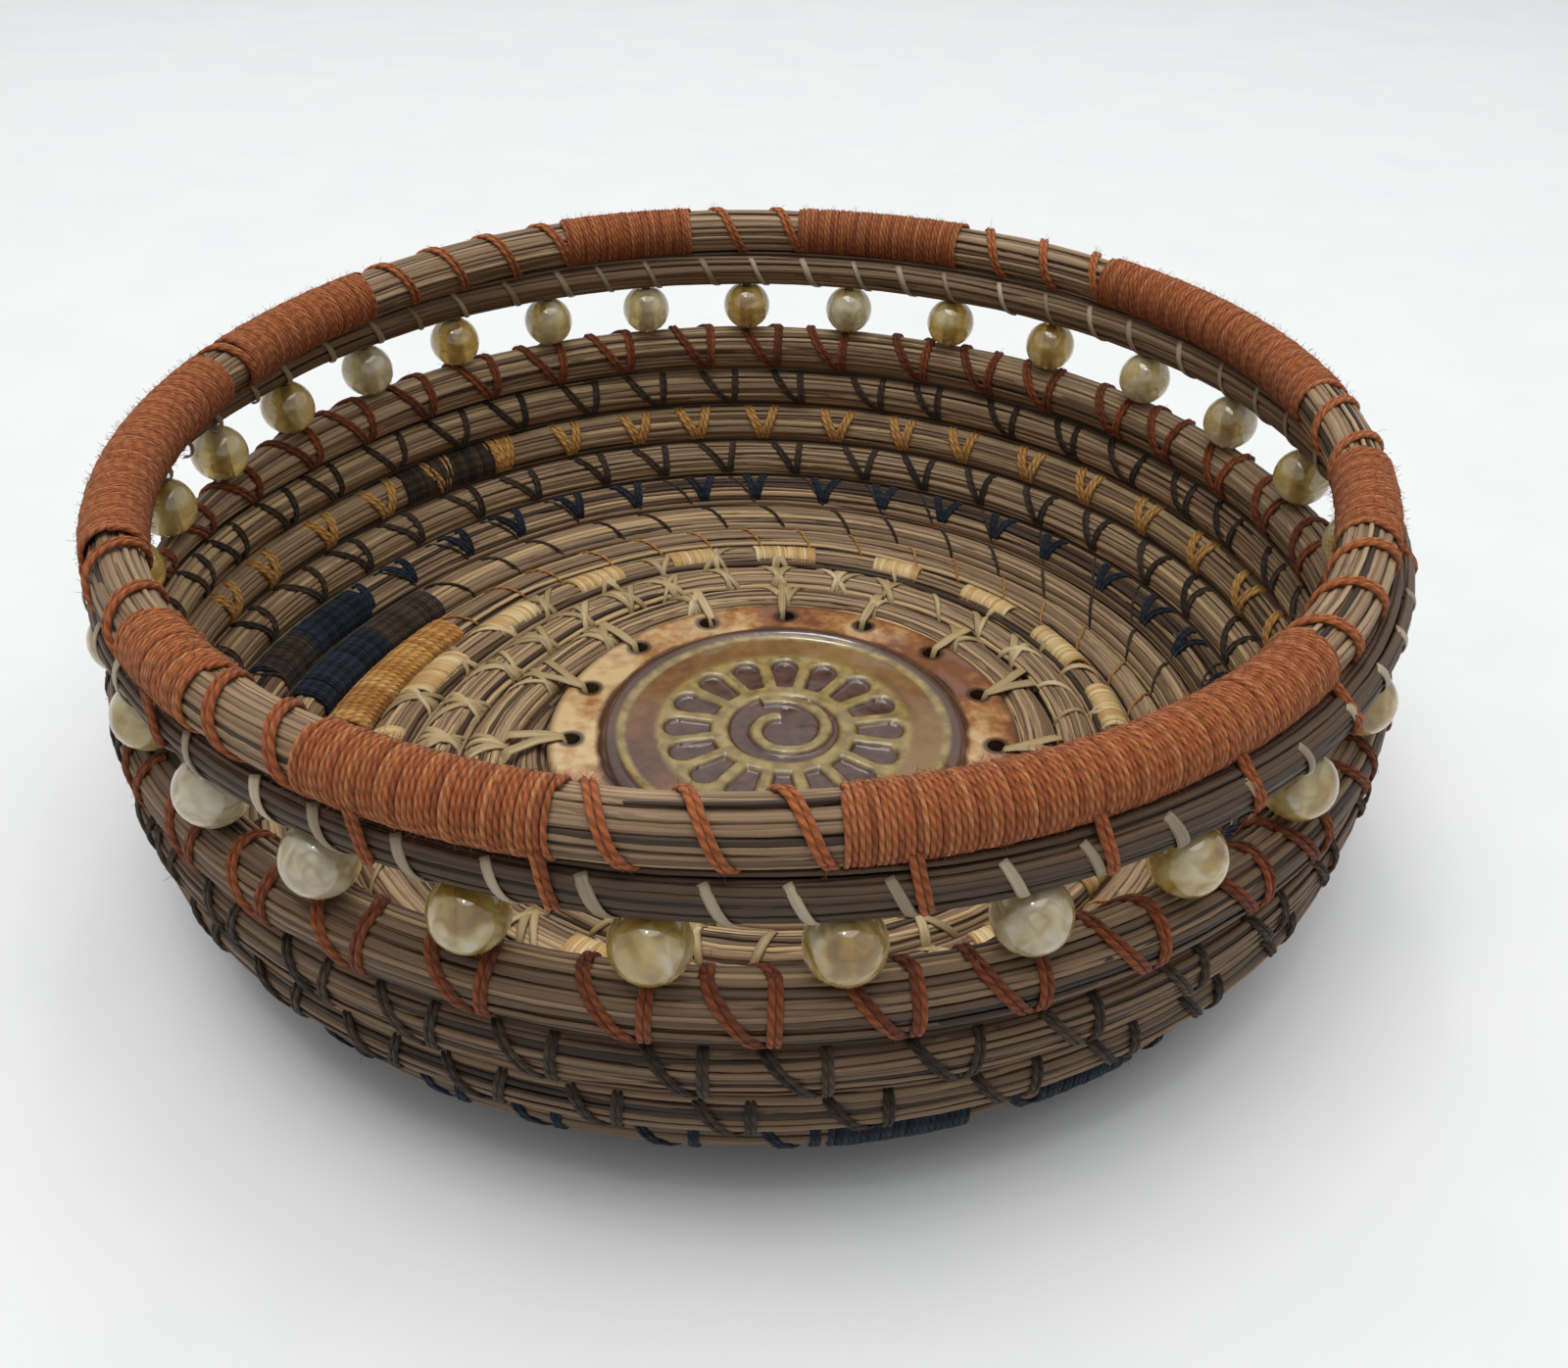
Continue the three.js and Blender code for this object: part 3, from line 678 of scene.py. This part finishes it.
def lay_shade_core(strands, bundle, turns, under_next):
    """The inside of a bundle, and a narrow bed under a next row, both dark as painted shade, so that no light
    comes through.
    """
    half = bundle.half(turns)
    centre = bundle.spot(turns, 0, 0)
    up = unit(bundle.spot(turns, 0, half) - centre)
    corner = math.cos(pi / strands.sides)
    # Painted shade: the core takes the darkest tint and the bed a dark one.
    strands.add(centre, up, 2 * half - CORE_SLACK[0], (2 * half - CORE_SLACK[1]) / corner, 0.0)
    if under_next:
        crease = bundle.spot(turns, 0, half + ROW_GAP / 2)
        strands.add(crease, up, BED_WIDTH, (ROW_GAP + BED_OVERLAP) / corner, 0.12)


def coil_turn_length(turns):
    return TAU * np.linalg.norm(coil.spot(np.array(max(turns, 0.0)), 0.0, 0.0)[:2])


def needle_rows():
    rows = lay_needles(coil, coil_turn_length, COIL_LANES)
    return [strands.piece("needle_row_%d" % (row + 1), needles) for row, strands in enumerate(rows)]


def rim_needle_ring(name, bundle, lanes):
    rows = lay_needles(bundle, lambda turns: TAU * wall_radius, lanes)
    return rows[0].piece(name, rim_needles)


# Stitches
def legs(low, high, side, thick, span, dips=(1, 1)):
    """Paths of thread over a row's face, from turns low in the crease below it to turns high above it.

    side is -1 on the inside and 1 on the outside, span is how much of the face a path crosses, and dips
    say which ends go down into a crease. Returns points and the directions out of the row."""
    share = LEG_SHARES
    turns = low[:, None] + (high - low)[:, None] * smooth(share * 0.9 + 0.05)
    psi = side * pi * (span[0] + (span[1] - span[0]) * share)
    dip = dips[0] * np.exp(-(share / 0.12) ** 2) + dips[1] * np.exp(-((1 - share) / 0.12) ** 2)
    reach = coil.half(turns) + SWELL + thick * (0.2 - 1.1 * dip)
    points = coil.spot(turns, psi, reach)
    return points, unit(points - coil.spot(turns, psi, 0))


def sew(strands, points, out, width, thick, tints, plies=2):
    """Adds each path as plies side by side."""
    side = unit(np.cross(out, unit(np.gradient(points, axis=1))))
    for ply in range(plies):
        shift = (ply - (plies - 1) / 2) * width * PLY_STEP
        wave = 0.06 * width * wander(np.linspace(0, 1, points.shape[1])[None], 0.5, len(points))
        tint = rng.uniform(*tints, (len(points), 1))
        strands.add(points + side * (shift + wave)[..., None], out, width, thick, tint)


def fuzz(strands, points, out, count, length):
    """Fine hairs that stand off a yarn."""
    tubes, steps = points.shape[:2]
    tube = rng.integers(0, tubes, count)
    step = rng.integers(1, steps - 1, count)
    start, up = points[tube, step], out[tube, step]
    along = unit(points[tube, step + 1] - points[tube, step])
    drift = rng.normal(0, 1, (count, 3))
    size = length * rng.uniform(0.4, 1.0, (count, 1))
    share = np.linspace(0, 1, 4)[None, :, None]
    rise = unit(up + 0.7 * along * rng.normal(0, 1, (count, 1)) + 0.3 * drift) * size
    curl = unit(drift) * size * 0.6
    hairs = start[:, None] + rise[:, None] * share + curl[:, None] * share ** 2
    strands.add(hairs, np.broadcast_to(up[:, None], hairs.shape), HAIR, HAIR, rng.uniform(0.6, 1, (count, 1)))


def row_stitches(strands, row, sides, heads, width, plies=2, low=FULL_FACE[0], hairs=0, tints=(0.1, 0.9)):
    """One turn of stitches on a row's faces: legs from each foot, to heads at shares of the spacing.

    Feet step sideways from row to row, so that a slanted leg ends at a foot of the row above it, and the
    legs of the top row's two faces meet on its crest."""
    step = 1 / STITCHES
    down = ROWS - 1 - row
    uneven = rng.uniform(-0.1, 0.1, STITCHES)
    for side in sides:
        shift = STITCH_SHIFT * (down if side > 0 else -1 - down)
        feet = row + np.mod(np.arange(STITCHES) + uneven + shift, STITCHES) * step
        feet = feet[feet < coil.last - 0.02]
        for head in heads:
            tops = feet + side * (head + rng.normal(0, 0.04 if down else 0, len(feet))) * step
            span, dips = ((low, FULL_FACE[1]), (1, 1)) if down else ((low, -0.01), (1, 0))
            points, out = legs(feet, tops, side, width, span, dips)
            sew(strands, points, out, width, PLY_FLATNESS * width, tints, plies)
            if hairs:
                fuzz(strands, points, out, hairs, STITCH_HAIR)


def wall_stitches():
    """Stitches row by row, in the colour of each row's thread, and stretches that are wrapped closely."""
    in_rust, in_brown, in_navy, in_ochre = (Strands(6) for _ in range(4))
    # The top row's rust keeps to low tints, as painted shade.
    row_stitches(in_rust, 9, BOTH, SLANTED, RUST_PLY, hairs=110, tints=(0.05, 0.45))
    row_stitches(in_brown, 8, BOTH, SLANTED, SEWING_PLY, hairs=30)
    row_stitches(in_ochre, 7, INSIDE, NARROW_V, OCHRE_PLY, hairs=20, tints=(0.6, 1))
    row_stitches(in_brown, 7, OUTSIDE, SLANTED, SEWING_PLY, hairs=30)
    row_stitches(in_brown, 6, INSIDE, SLANTED, SEWING_PLY, hairs=30)
    row_stitches(in_navy, 6, OUTSIDE, SLANTED, SEWING_PLY, hairs=30)
    row_stitches(in_navy, 5, BOTH, NARROW_V, NAVY_PLY, low=NAVY_FOOT, hairs=30)
    row_stitches(in_brown, 5, BOTH, SLANTED[:1], FINE_PLY, plies=1)
    row_stitches(in_brown, 4, BOTH, SLANTED[:1], LOW_PLY, plies=1)
    row_stitches(in_ochre, 3, INSIDE, SLANTED[:1], FINE_PLY, plies=1)
    wrap_row(in_ochre, 3, 153, 181, OCHRE_STRAND)
    wrap_row(in_brown, 4, 149, 161)
    wrap_row(in_navy, 4, 161, 178)
    wrap_row(in_navy, 5, 157, 169)
    wrap_row(in_brown, 5, 169, 177)
    wrap_row(in_ochre, 7, 126, 128.5, OCHRE_PLY)
    wrap_row(in_brown, 7, 128.5, 142)
    wrap_row(in_navy, 6, 277, 288, side=1)
    wrap_row(in_navy, 6, 294, 302, side=1)
    return [in_rust.piece("rust_stitches", rust), in_brown.piece("brown_stitches", brown),
            in_navy.piece("navy_stitches", navy), in_ochre.piece("ochre_stitches", ochre)]


def wrap_row(strands, row, first, last, width=WRAP_STRAND, thick=WRAP_THICK, side=-1, span=FULL_FACE):
    """A stretch of a row's face wrapped side by side, between two angles in degrees."""
    start = row + np.mod(first - math.degrees(COIL_START), 360) / 360
    length = (last - first) / 360
    turn_length = coil_turn_length(row + 0.5)
    count = max(1, round(length * turn_length / (width * WRAP_STEP)))
    feet = start + length * (np.arange(count) + 0.5) / count
    heads = feet + rng.uniform(0, 0.5, count) * width / turn_length
    points, out = legs(feet, heads, side, thick, span)
    uneven = rng.uniform(0.85, 1.15, (count, 1))
    strands.add(points, out, width * uneven, thick * uneven, rng.uniform(0, 1, (count, 1)))


# Raffia of the floor
def lacing_turn(i):
    """Angle of a lacing hole round the medallion, the first one being at the back."""
    return (i / LACING_HOLES + 0.25) * TAU


def lacing():
    """A strand from each hole of the medallion over its edge and the first row. Most have a second one."""
    strands = Strands(8)
    row_top = floor_height + (FLOOR_ROW - ROW_GAP) / 2 + SWELL
    # share of the way, distance from the medallion's middle, height
    stations, reaches, heights = zip(
        (0, lacing_reach + 0.0005, band_top - 0.003),
        (0.12, lacing_reach + 0.0014, band_top + 0.0002),
        (0.3, medallion_radius - 0.0014, band_top + 0.0005),
        (0.5, medallion_radius + 0.0018, row_top + 0.0001),
        (0.8, medallion_radius + 0.0066, row_top),
        (1, medallion_radius + 0.0082, row_top - 0.002))
    share = np.linspace(0, 1, 16)
    reach = np.interp(share, stations, reaches)
    height = np.interp(share, stations, heights)
    narrow = np.interp(share, [0, 0.35], [LACE_AT_HOLE, 1])
    for i in range(LACING_HOLES):
        angle = lacing_turn(i)
        second = rng.choice([-1, 1]) * LACE_SPLAY
        at_back = math.sin(angle) > 0.5
        for slant in (0.0,) if at_back else (0.0, second):
            turn = angle + slant * smooth((share - 0.15) / 0.85) + rng.normal(0, 0.012)
            points = polar(reach, turn, height, medallion_x)[None]
            out = unit(polar(-0.25, turn, 1))
            width = LACE_WIDTH * rng.uniform(0.85, 1.1) * narrow
            strands.add(points, out[None], width, LACE_THICK, rng.uniform(0.3, 1))
    return strands


def floor_raffia():
    """Lacing, and fern stitches on the first rows: radial chains of crossed leaves, fullest on the left."""
    strands = lacing()
    leaf = 0.35 + 0.65 * np.sin(pi * LEG_SHARES) ** 0.7
    for row, chains in ((0, LACING_HOLES), (1, FERN_CHAINS), (2, FERN_CHAINS)):
        angles = (np.arange(chains) / chains + 0.25) * TAU
        feet = row + np.mod((angles - COIL_START) / TAU + rng.normal(0, 0.002, chains), 1)
        full = 0.62 + 0.33 * np.cos(angles - FERN_DENSEST)
        for lean in FERN_LEANS:
            keep = rng.uniform(size=chains) < full * (1 if row < 2 else 0.75)
            heads = feet + (lean + rng.normal(0, 0.07, chains)) / FERN_CHAINS
            crossed = feet - lean * rng.uniform(0, FERN_CROSSING, chains) / FERN_CHAINS
            points, out = legs(crossed[keep], heads[keep], -1, LEAF_DIP, FERN_SPAN)
            count = len(points)
            width = LEAF_WIDTH * rng.uniform(0.7, 1.15, (count, 1)) * leaf
            strands.add(points, out, width, LEAF_THICK, rng.uniform(0.2, 1, (count, 1)))
    return strands.piece("floor_raffia", raffia)


def gold_wraps():
    """Shiny stretches of raffia side by side on the third row."""
    strands = Strands(8)
    for k in range(GOLD_STRETCHES):
        first = (k + rng.uniform(0, 0.15)) * 360 / GOLD_STRETCHES
        last = first + rng.uniform(*GOLD_LENGTHS)
        wrap_row(strands, 2, first, last, GOLD_STRAND, GOLD_THICK, span=GOLD_SPAN)
    return strands.piece("gold_wraps", gold)


# Rim
def rim_wrap(i):
    """A close wrap of rust yarn round the thick coil, and the doubled yarn of the loose turns after it."""
    strands = Strands(6)
    first, last, loose_turns = WRAPS[i]
    following = WRAPS[(i + 1) % len(WRAPS)][0]
    start, end = radians(first), radians(last)
    next_start = radians(following + (360 if following < first else 0))
    turns = round((end - start) * wall_radius / WRAP_PITCH)
    share = np.linspace(0, 1, turns * WRAP_POINTS + 1)[None]
    psi = TAU * turns * share
    drift = 0.12 * WRAP_PITCH / wall_radius * wander(share * turns, 5.3, 1)
    reach = wrap_radius + 0.00008 * wander(share * turns, 9.1, 1)
    points, out = round_rim(thick_middle, start + (end - start) * share + drift, psi, reach)
    tint = np.clip(0.7 + 0.25 * wander(share * turns, 2.3, 1), 0, 1)
    strands.add(points, out, WRAP_PITCH * WRAP_PLUMP[0], YARN * WRAP_PLUMP[1], tint)
    fuzz(strands, points, out, turns * WRAP_HAIRS, WRAP_HAIR)
    share = np.linspace(0, 1, loose_turns * LOOSE_POINTS + 1)[None]
    lap = 3 * YARN / wall_radius
    angle = end - lap + (next_start - end + lap) * share
    points, out = round_rim(thick_middle, angle, TAU * loose_turns * share + pi, wrap_radius)
    sew(strands, points, out, LOOSE_PLY, LOOSE_THICK, tints=(0.45, 0.85))
    fuzz(strands, points, out, loose_turns * LOOSE_HAIRS, LOOSE_HAIR)
    drops(strands, np.arange(start + DROP_STEP / 3, end, DROP_STEP))
    return strands.piece("rim_wrap_%d" % (i + 1), rust)


def drops(strands, angles):
    """Legs of the wrap's yarn that come down over the outside of the thin coil and hold it up."""
    top, _ = round_rim(thick_middle, angles, DROP_TOP, wrap_radius)
    low, _ = round_rim(thin_middle, angles + DROP_DRIFT[0], DROP_LOW, thin_shell + DROP_LIFT)
    foot, _ = round_rim(thin_middle, angles + DROP_DRIFT[1], DROP_FOOT, thin_shell + DROP_LIFT)
    points = np.stack([[np.interp(LEG_SHARES, [0, 0.6, 1], line) for line in ends] for ends in
                       np.stack([top, low, foot], -1)]).swapaxes(1, 2)
    out = np.broadcast_to(unit(polar(1, angles, 0.3))[:, None], points.shape)
    sew(strands, points, out, LOOSE_PLY, LOOSE_THICK, tints=(0.3, 0.7))


def rim_strips():
    """Pale strips that sew the thin coil on, and the threads that the beads turn on."""
    strands = Strands(8)
    for side, wide in ((1, STRIP_OUTSIDE), (-1, STRIP_INSIDE)):
        feet = (np.arange(STRIPS) + rng.uniform(-0.15, 0.15, STRIPS)) / STRIPS
        heads = feet - side * STRIP_SLANT / STRIPS
        psi = side * pi * (STRIP_FROM - STRIP_SWEEP * LEG_SHARES)
        angle = TAU * (feet[:, None] + (heads - feet)[:, None] * LEG_SHARES)
        points, out = round_rim(thin_middle, angle, psi, thin_shell + STRIP_LIFT)
        width = wide * rng.uniform(0.8, 1.15, (STRIPS, 1))
        strands.add(points, out, width, STRIP_THICK, rng.uniform(0, 1, (STRIPS, 1)))
    heights = np.linspace(wall_top - THREAD_SINK, thin_height - THIN_COIL_RADIUS + THREAD_SINK, 6)
    for centre in bead_centres:
        points = np.array([[(*centre[:2], height) for height in heights]])
        out = np.broadcast_to(unit(centre * (1, 1, 0)), points.shape)
        strands.add(points, out, 2 * THREAD_RADIUS, 2 * THREAD_RADIUS, 0.5)
    return strands.piece("rim_strips", strip)


# Beads
def bead(i, finish):
    """A polished ball with a bore. Its swirls are set by a turn and a tint of its own."""
    arcs, sides = 26, 40
    reach = math.acos(BEAD_BORE / BEAD_RADIUS)
    lift = np.linspace(-reach, reach, arcs)
    turn = TAU * np.arange(sides) / sides
    radius = np.append(BEAD_RADIUS * np.cos(lift), [BEAD_BORE, BEAD_BORE])
    height = np.append(BEAD_RADIUS * np.sin(lift), BEAD_RADIUS * math.sin(reach) * np.array([0.4, -0.4]))
    places = polar(radius[:, None], turn, height[:, None]).reshape(-1, 3)
    index = np.arange(len(radius) * sides).reshape(len(radius), sides)
    above, beside = np.roll(index, -1, axis=0), np.roll(index, -1, axis=1)
    faces = np.stack([index, beside, np.roll(above, -1, axis=1), above], -1).reshape(-1, 4)
    spin, _ = np.linalg.qr(rng.normal(size=(3, 3)))
    tint = np.full(len(places), rng.uniform())
    return mesh_piece("glass_bead_%02d" % (i + 1), finish, places + bead_centres[i], [faces],
                      {"lay": places @ spin / BEAD_RADIUS, "tint": tint})


# Medallion
def relief(reach, turn):
    """Height of the medallion's top at a distance and an angle from its middle."""
    lip = SHOULDER_RADIUS - SHOULDER_SOFT
    height = band_top + SHOULDER_HEIGHT * np.sqrt(smooth((SHOULDER_RADIUS - reach) / SHOULDER_SOFT))
    dish = DISH_DEPTH * smooth((lip - reach) / DISH_SLOPE)
    height = height - np.where(reach < lip, dish, 0)
    spread = math.tan(pi / SUN_CELLS)
    narrow = SUN_INNER * spread - SUN_LINE / 2
    wide = (SUN_OUTER * spread - SUN_LINE / 2) / (1 + spread)
    across = (np.mod(turn * SUN_CELLS / TAU + 0.5, 1) - 0.5) * TAU / SUN_CELLS
    x, y = reach * np.cos(across), np.abs(reach * np.sin(across))
    half = narrow + (wide - narrow) * np.clip((x - SUN_INNER) / (SUN_OUTER - wide - SUN_INNER), 0, 1)
    end = np.hypot(np.maximum(x - (SUN_OUTER - wide), 0), y) - wide
    away = np.maximum(np.where(x > SUN_OUTER - wide, end, y - half), SUN_INNER - x)
    cells = smooth(0.5 - away / RELIEF_SOFT)
    eye = smooth((EYE_RADIUS - reach) / EYE_SOFT)
    spiral = np.full(reach.shape, 1.0)
    spiral_end = EYE_RADIUS - SPIRAL_WIDTH / 2
    for lap in range(2):
        theta = np.mod(turn - SPIRAL_ANGLE, TAU) + lap * TAU
        share = theta / (SPIRAL_TURNS * TAU)
        line = SPIRAL_START + share * (spiral_end - SPIRAL_START)
        spiral = np.minimum(spiral, np.where(share <= 1, np.abs(reach - line), 1.0))
    ridge = smooth((SPIRAL_WIDTH / 2 + SPIRAL_FOOT - spiral) / RELIEF_SOFT)
    height = height - RELIEF_DEPTH * np.maximum(cells, eye * (1 - ridge))
    uneven = np.sin(3 * turn + 1) * 0.5 + np.sin(5 * turn + reach * 400) * 0.5
    return height + HAND_UNEVEN * uneven * smooth(reach / 0.01)


def medallion():
    """The glazed disc: its relief on a fine round grid, its edge rounded, its holes cut through."""
    sides, pole = 320, 0.0002
    turn = TAU * np.arange(sides) / sides
    flat = medallion_radius - EDGE_ROUND
    low = medallion_low[2]
    reach = np.linspace(pole, flat, 128)[:, None]
    rounding = np.linspace(0, pi / 2, 7)[1:, None]
    top = relief(reach + 0 * turn, turn + 0 * reach)
    edge = top[-1] - EDGE_ROUND * (1 - np.cos(rounding))
    under = np.array([[low + EDGE_ROUND], [low], [low]]) + 0 * turn
    radii = [reach, flat + EDGE_ROUND * np.sin(rounding), [[medallion_radius], [flat], [pole]]]
    places = polar(np.concatenate(radii), turn, np.concatenate([top, edge, under]), medallion_x)
    index = np.arange(places.shape[0] * sides).reshape(-1, sides)
    beside = np.roll(index, -1, axis=1)
    faces = np.stack([index[:-1], index[1:], beside[1:], beside[:-1]], -1).reshape(-1, 4)
    caps = np.stack([index[0], index[-1][::-1]])
    disc = mesh_piece("medallion_glazed", glaze_finish(), places.reshape(-1, 3), [faces, caps], {})
    drills = lacing_drills()
    cut = disc.modifiers.new("holes", "BOOLEAN")
    cut.object, cut.operation, cut.solver = drills, "DIFFERENCE", "EXACT"
    graph = bpy.context.evaluated_depsgraph_get()
    drilled = bpy.data.meshes.new_from_object(disc.evaluated_get(graph))
    disc.modifiers.clear()
    disc.data = drilled
    bpy.data.objects.remove(drills)
    drilled.set_sharp_from_angle(angle=radians(50))
    return disc


def lacing_drills():
    """Round rods, one for each lacing hole, that are cut out of the medallion."""
    sides = 20
    turn = TAU * np.arange(sides) / sides
    places, walls, ends = [], [], []
    for i in range(LACING_HOLES):
        angle = lacing_turn(i)
        middle = polar(lacing_reach, angle, 0.0, medallion_x)
        first = 2 * sides * i
        for height in (medallion_low[2] - DRILL_PAST[0], band_top + DRILL_PAST[1]):
            places.append(middle + polar(LACING_HOLE_RADIUS, turn, height))
        low, high = first + np.arange(sides), first + sides + np.arange(sides)
        walls.append(np.stack([low, np.roll(low, -1), np.roll(high, -1), high], -1))
        ends.append(np.stack([low[::-1], high]))
    faces = [np.concatenate(walls), np.concatenate(ends)]
    return mesh_piece("drills", needles, np.concatenate(places), faces, {})


# The basket
def dress(piece, slot, *nodes, body="basket"):
    """Sets the body that a piece rides on and hides the solids that it stands for. Its material slot is not
    used.
    """
    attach(piece, body)
    if nodes:
        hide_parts(*nodes)


dress(medallion(), "ceramic", "medallion")
for needle_row in needle_rows():
    dress(needle_row, "needles", "needle_coil")
dress(rim_needle_ring("thin_rim_needles", thin_coil, THIN_LANES), "rim_needles", "thin_rim_coil")
dress(rim_needle_ring("thick_rim_needles", thick_coil, THICK_LANES), "rim_needles", "thick_rim_coil")
for number in range(len(WRAPS)):
    dress(rim_wrap(number), "rust_yarn", "rim_yarn_%d" % (number + 1))
for stitches in wall_stitches():
    dress(stitches, "thread")
dress(floor_raffia(), "raffia")
dress(gold_wraps(), "raffia")
dress(rim_strips(), "raffia")
glass = bead_finish()
for number in range(BEADS):
    node = "bead_%02d" % (number + 1)
    dress(bead(number, glass), "bead_glass", node, body=node)


# Camera, floor and light
CAMERA_AT = (0.00528, -0.22074, 0.17029)
CAMERA_DOWN = 34.95
CAMERA_ROLL = 1.03
CAMERA_LENS = 34.68
FLOOR_HALF = 4.0
ROOM_BEHIND = (0.14, 0.38)  # brightness of the room, front and back
ROOM_ABOVE = (0.0, 0.38)  # added, level and overhead
BACKDROP = 0.75  # where it is seen or mirrored
# name, place, diameter, watts, colour
LAMPS = [
    ("key", (-0.25, -0.05, 1.3), 0.6, 2.6, (1.0, 0.98, 0.95)),
    ("top", (0.08, -0.06, 1.35), 1.5, 10.0, (1.0, 0.99, 0.97)),
    ("glaze_glint", (-0.03, 0.75, 1.1), 0.12, 0.6, (1, 1, 1)),
    ("bead_glint", (-0.12, -0.5, 1.25), 0.14, 0.7, (1, 1, 1)),
]


def camera():
    data = bpy.data.cameras.new("camera")
    data.lens = CAMERA_LENS
    data.clip_start = 0.01
    piece = linked("camera", data)
    tilt = Matrix.Rotation(radians(90 - CAMERA_DOWN), 4, "X")
    roll = Matrix.Rotation(radians(CAMERA_ROLL), 4, "Z")
    piece.matrix_world = Matrix.Translation(CAMERA_AT) @ tilt @ roll
    bpy.context.scene.camera = piece


def floor():
    places = FLOOR_HALF * np.array([[-1, -1, 0], [1, -1, 0], [1, 1, 0], [-1, 1, 0]])
    f = Finish("pale_floor")
    place = f.add("TexCoord").outputs["Object"]
    f.shade(Base_Color=f.ramp(f.noise(place, 30.0, 3.0), [(0.3, (236, 238, 238)), (0.7, (240, 241, 241))]))
    f.shade(Roughness=0.9, Specular_IOR_Level=0.2)
    piece = mesh_piece("floor", f.material, places, [np.array([[0, 1, 2, 3]])], {})


def lamp(name, at, size, watts, colour):
    data = bpy.data.lights.new(name, "AREA")
    data.shape = "DISK"
    data.size = size
    data.energy = watts
    data.color = colour
    piece = linked(name, data)
    turn = Vector(at).to_track_quat("Z", "Y")
    piece.matrix_world = Matrix.Translation(at) @ turn.to_matrix().to_4x4()


def light():
    """A pale room that is brighter above and behind, two soft lamps, and two small ones for the glints."""
    f = Finish("room", bpy.data.worlds, "Background")
    way = f.add("SeparateXYZ", {"Vector": f.add("TexCoord").outputs["Generated"]})
    behind = f.spread(way.outputs["Y"], -1, 1, *ROOM_BEHIND)
    above = f.spread(way.outputs["Z"], 0, 1, *ROOM_ABOVE)
    path = f.add("LightPath").outputs
    seen = f.plus(path["Is Camera Ray"], f.plus(path["Is Glossy Ray"], path["Is Transmission Ray"]))
    strength = f.math("MAXIMUM", f.plus(behind, above), f.times(seen, BACKDROP))
    f.shade(Color=(0.95, 0.97, 1.0, 1), Strength=strength)
    bpy.context.scene.world = f.material
    for row in LAMPS:
        lamp(*row)


camera()
floor()
light()
bpy.context.scene.view_settings.view_transform = "Standard"
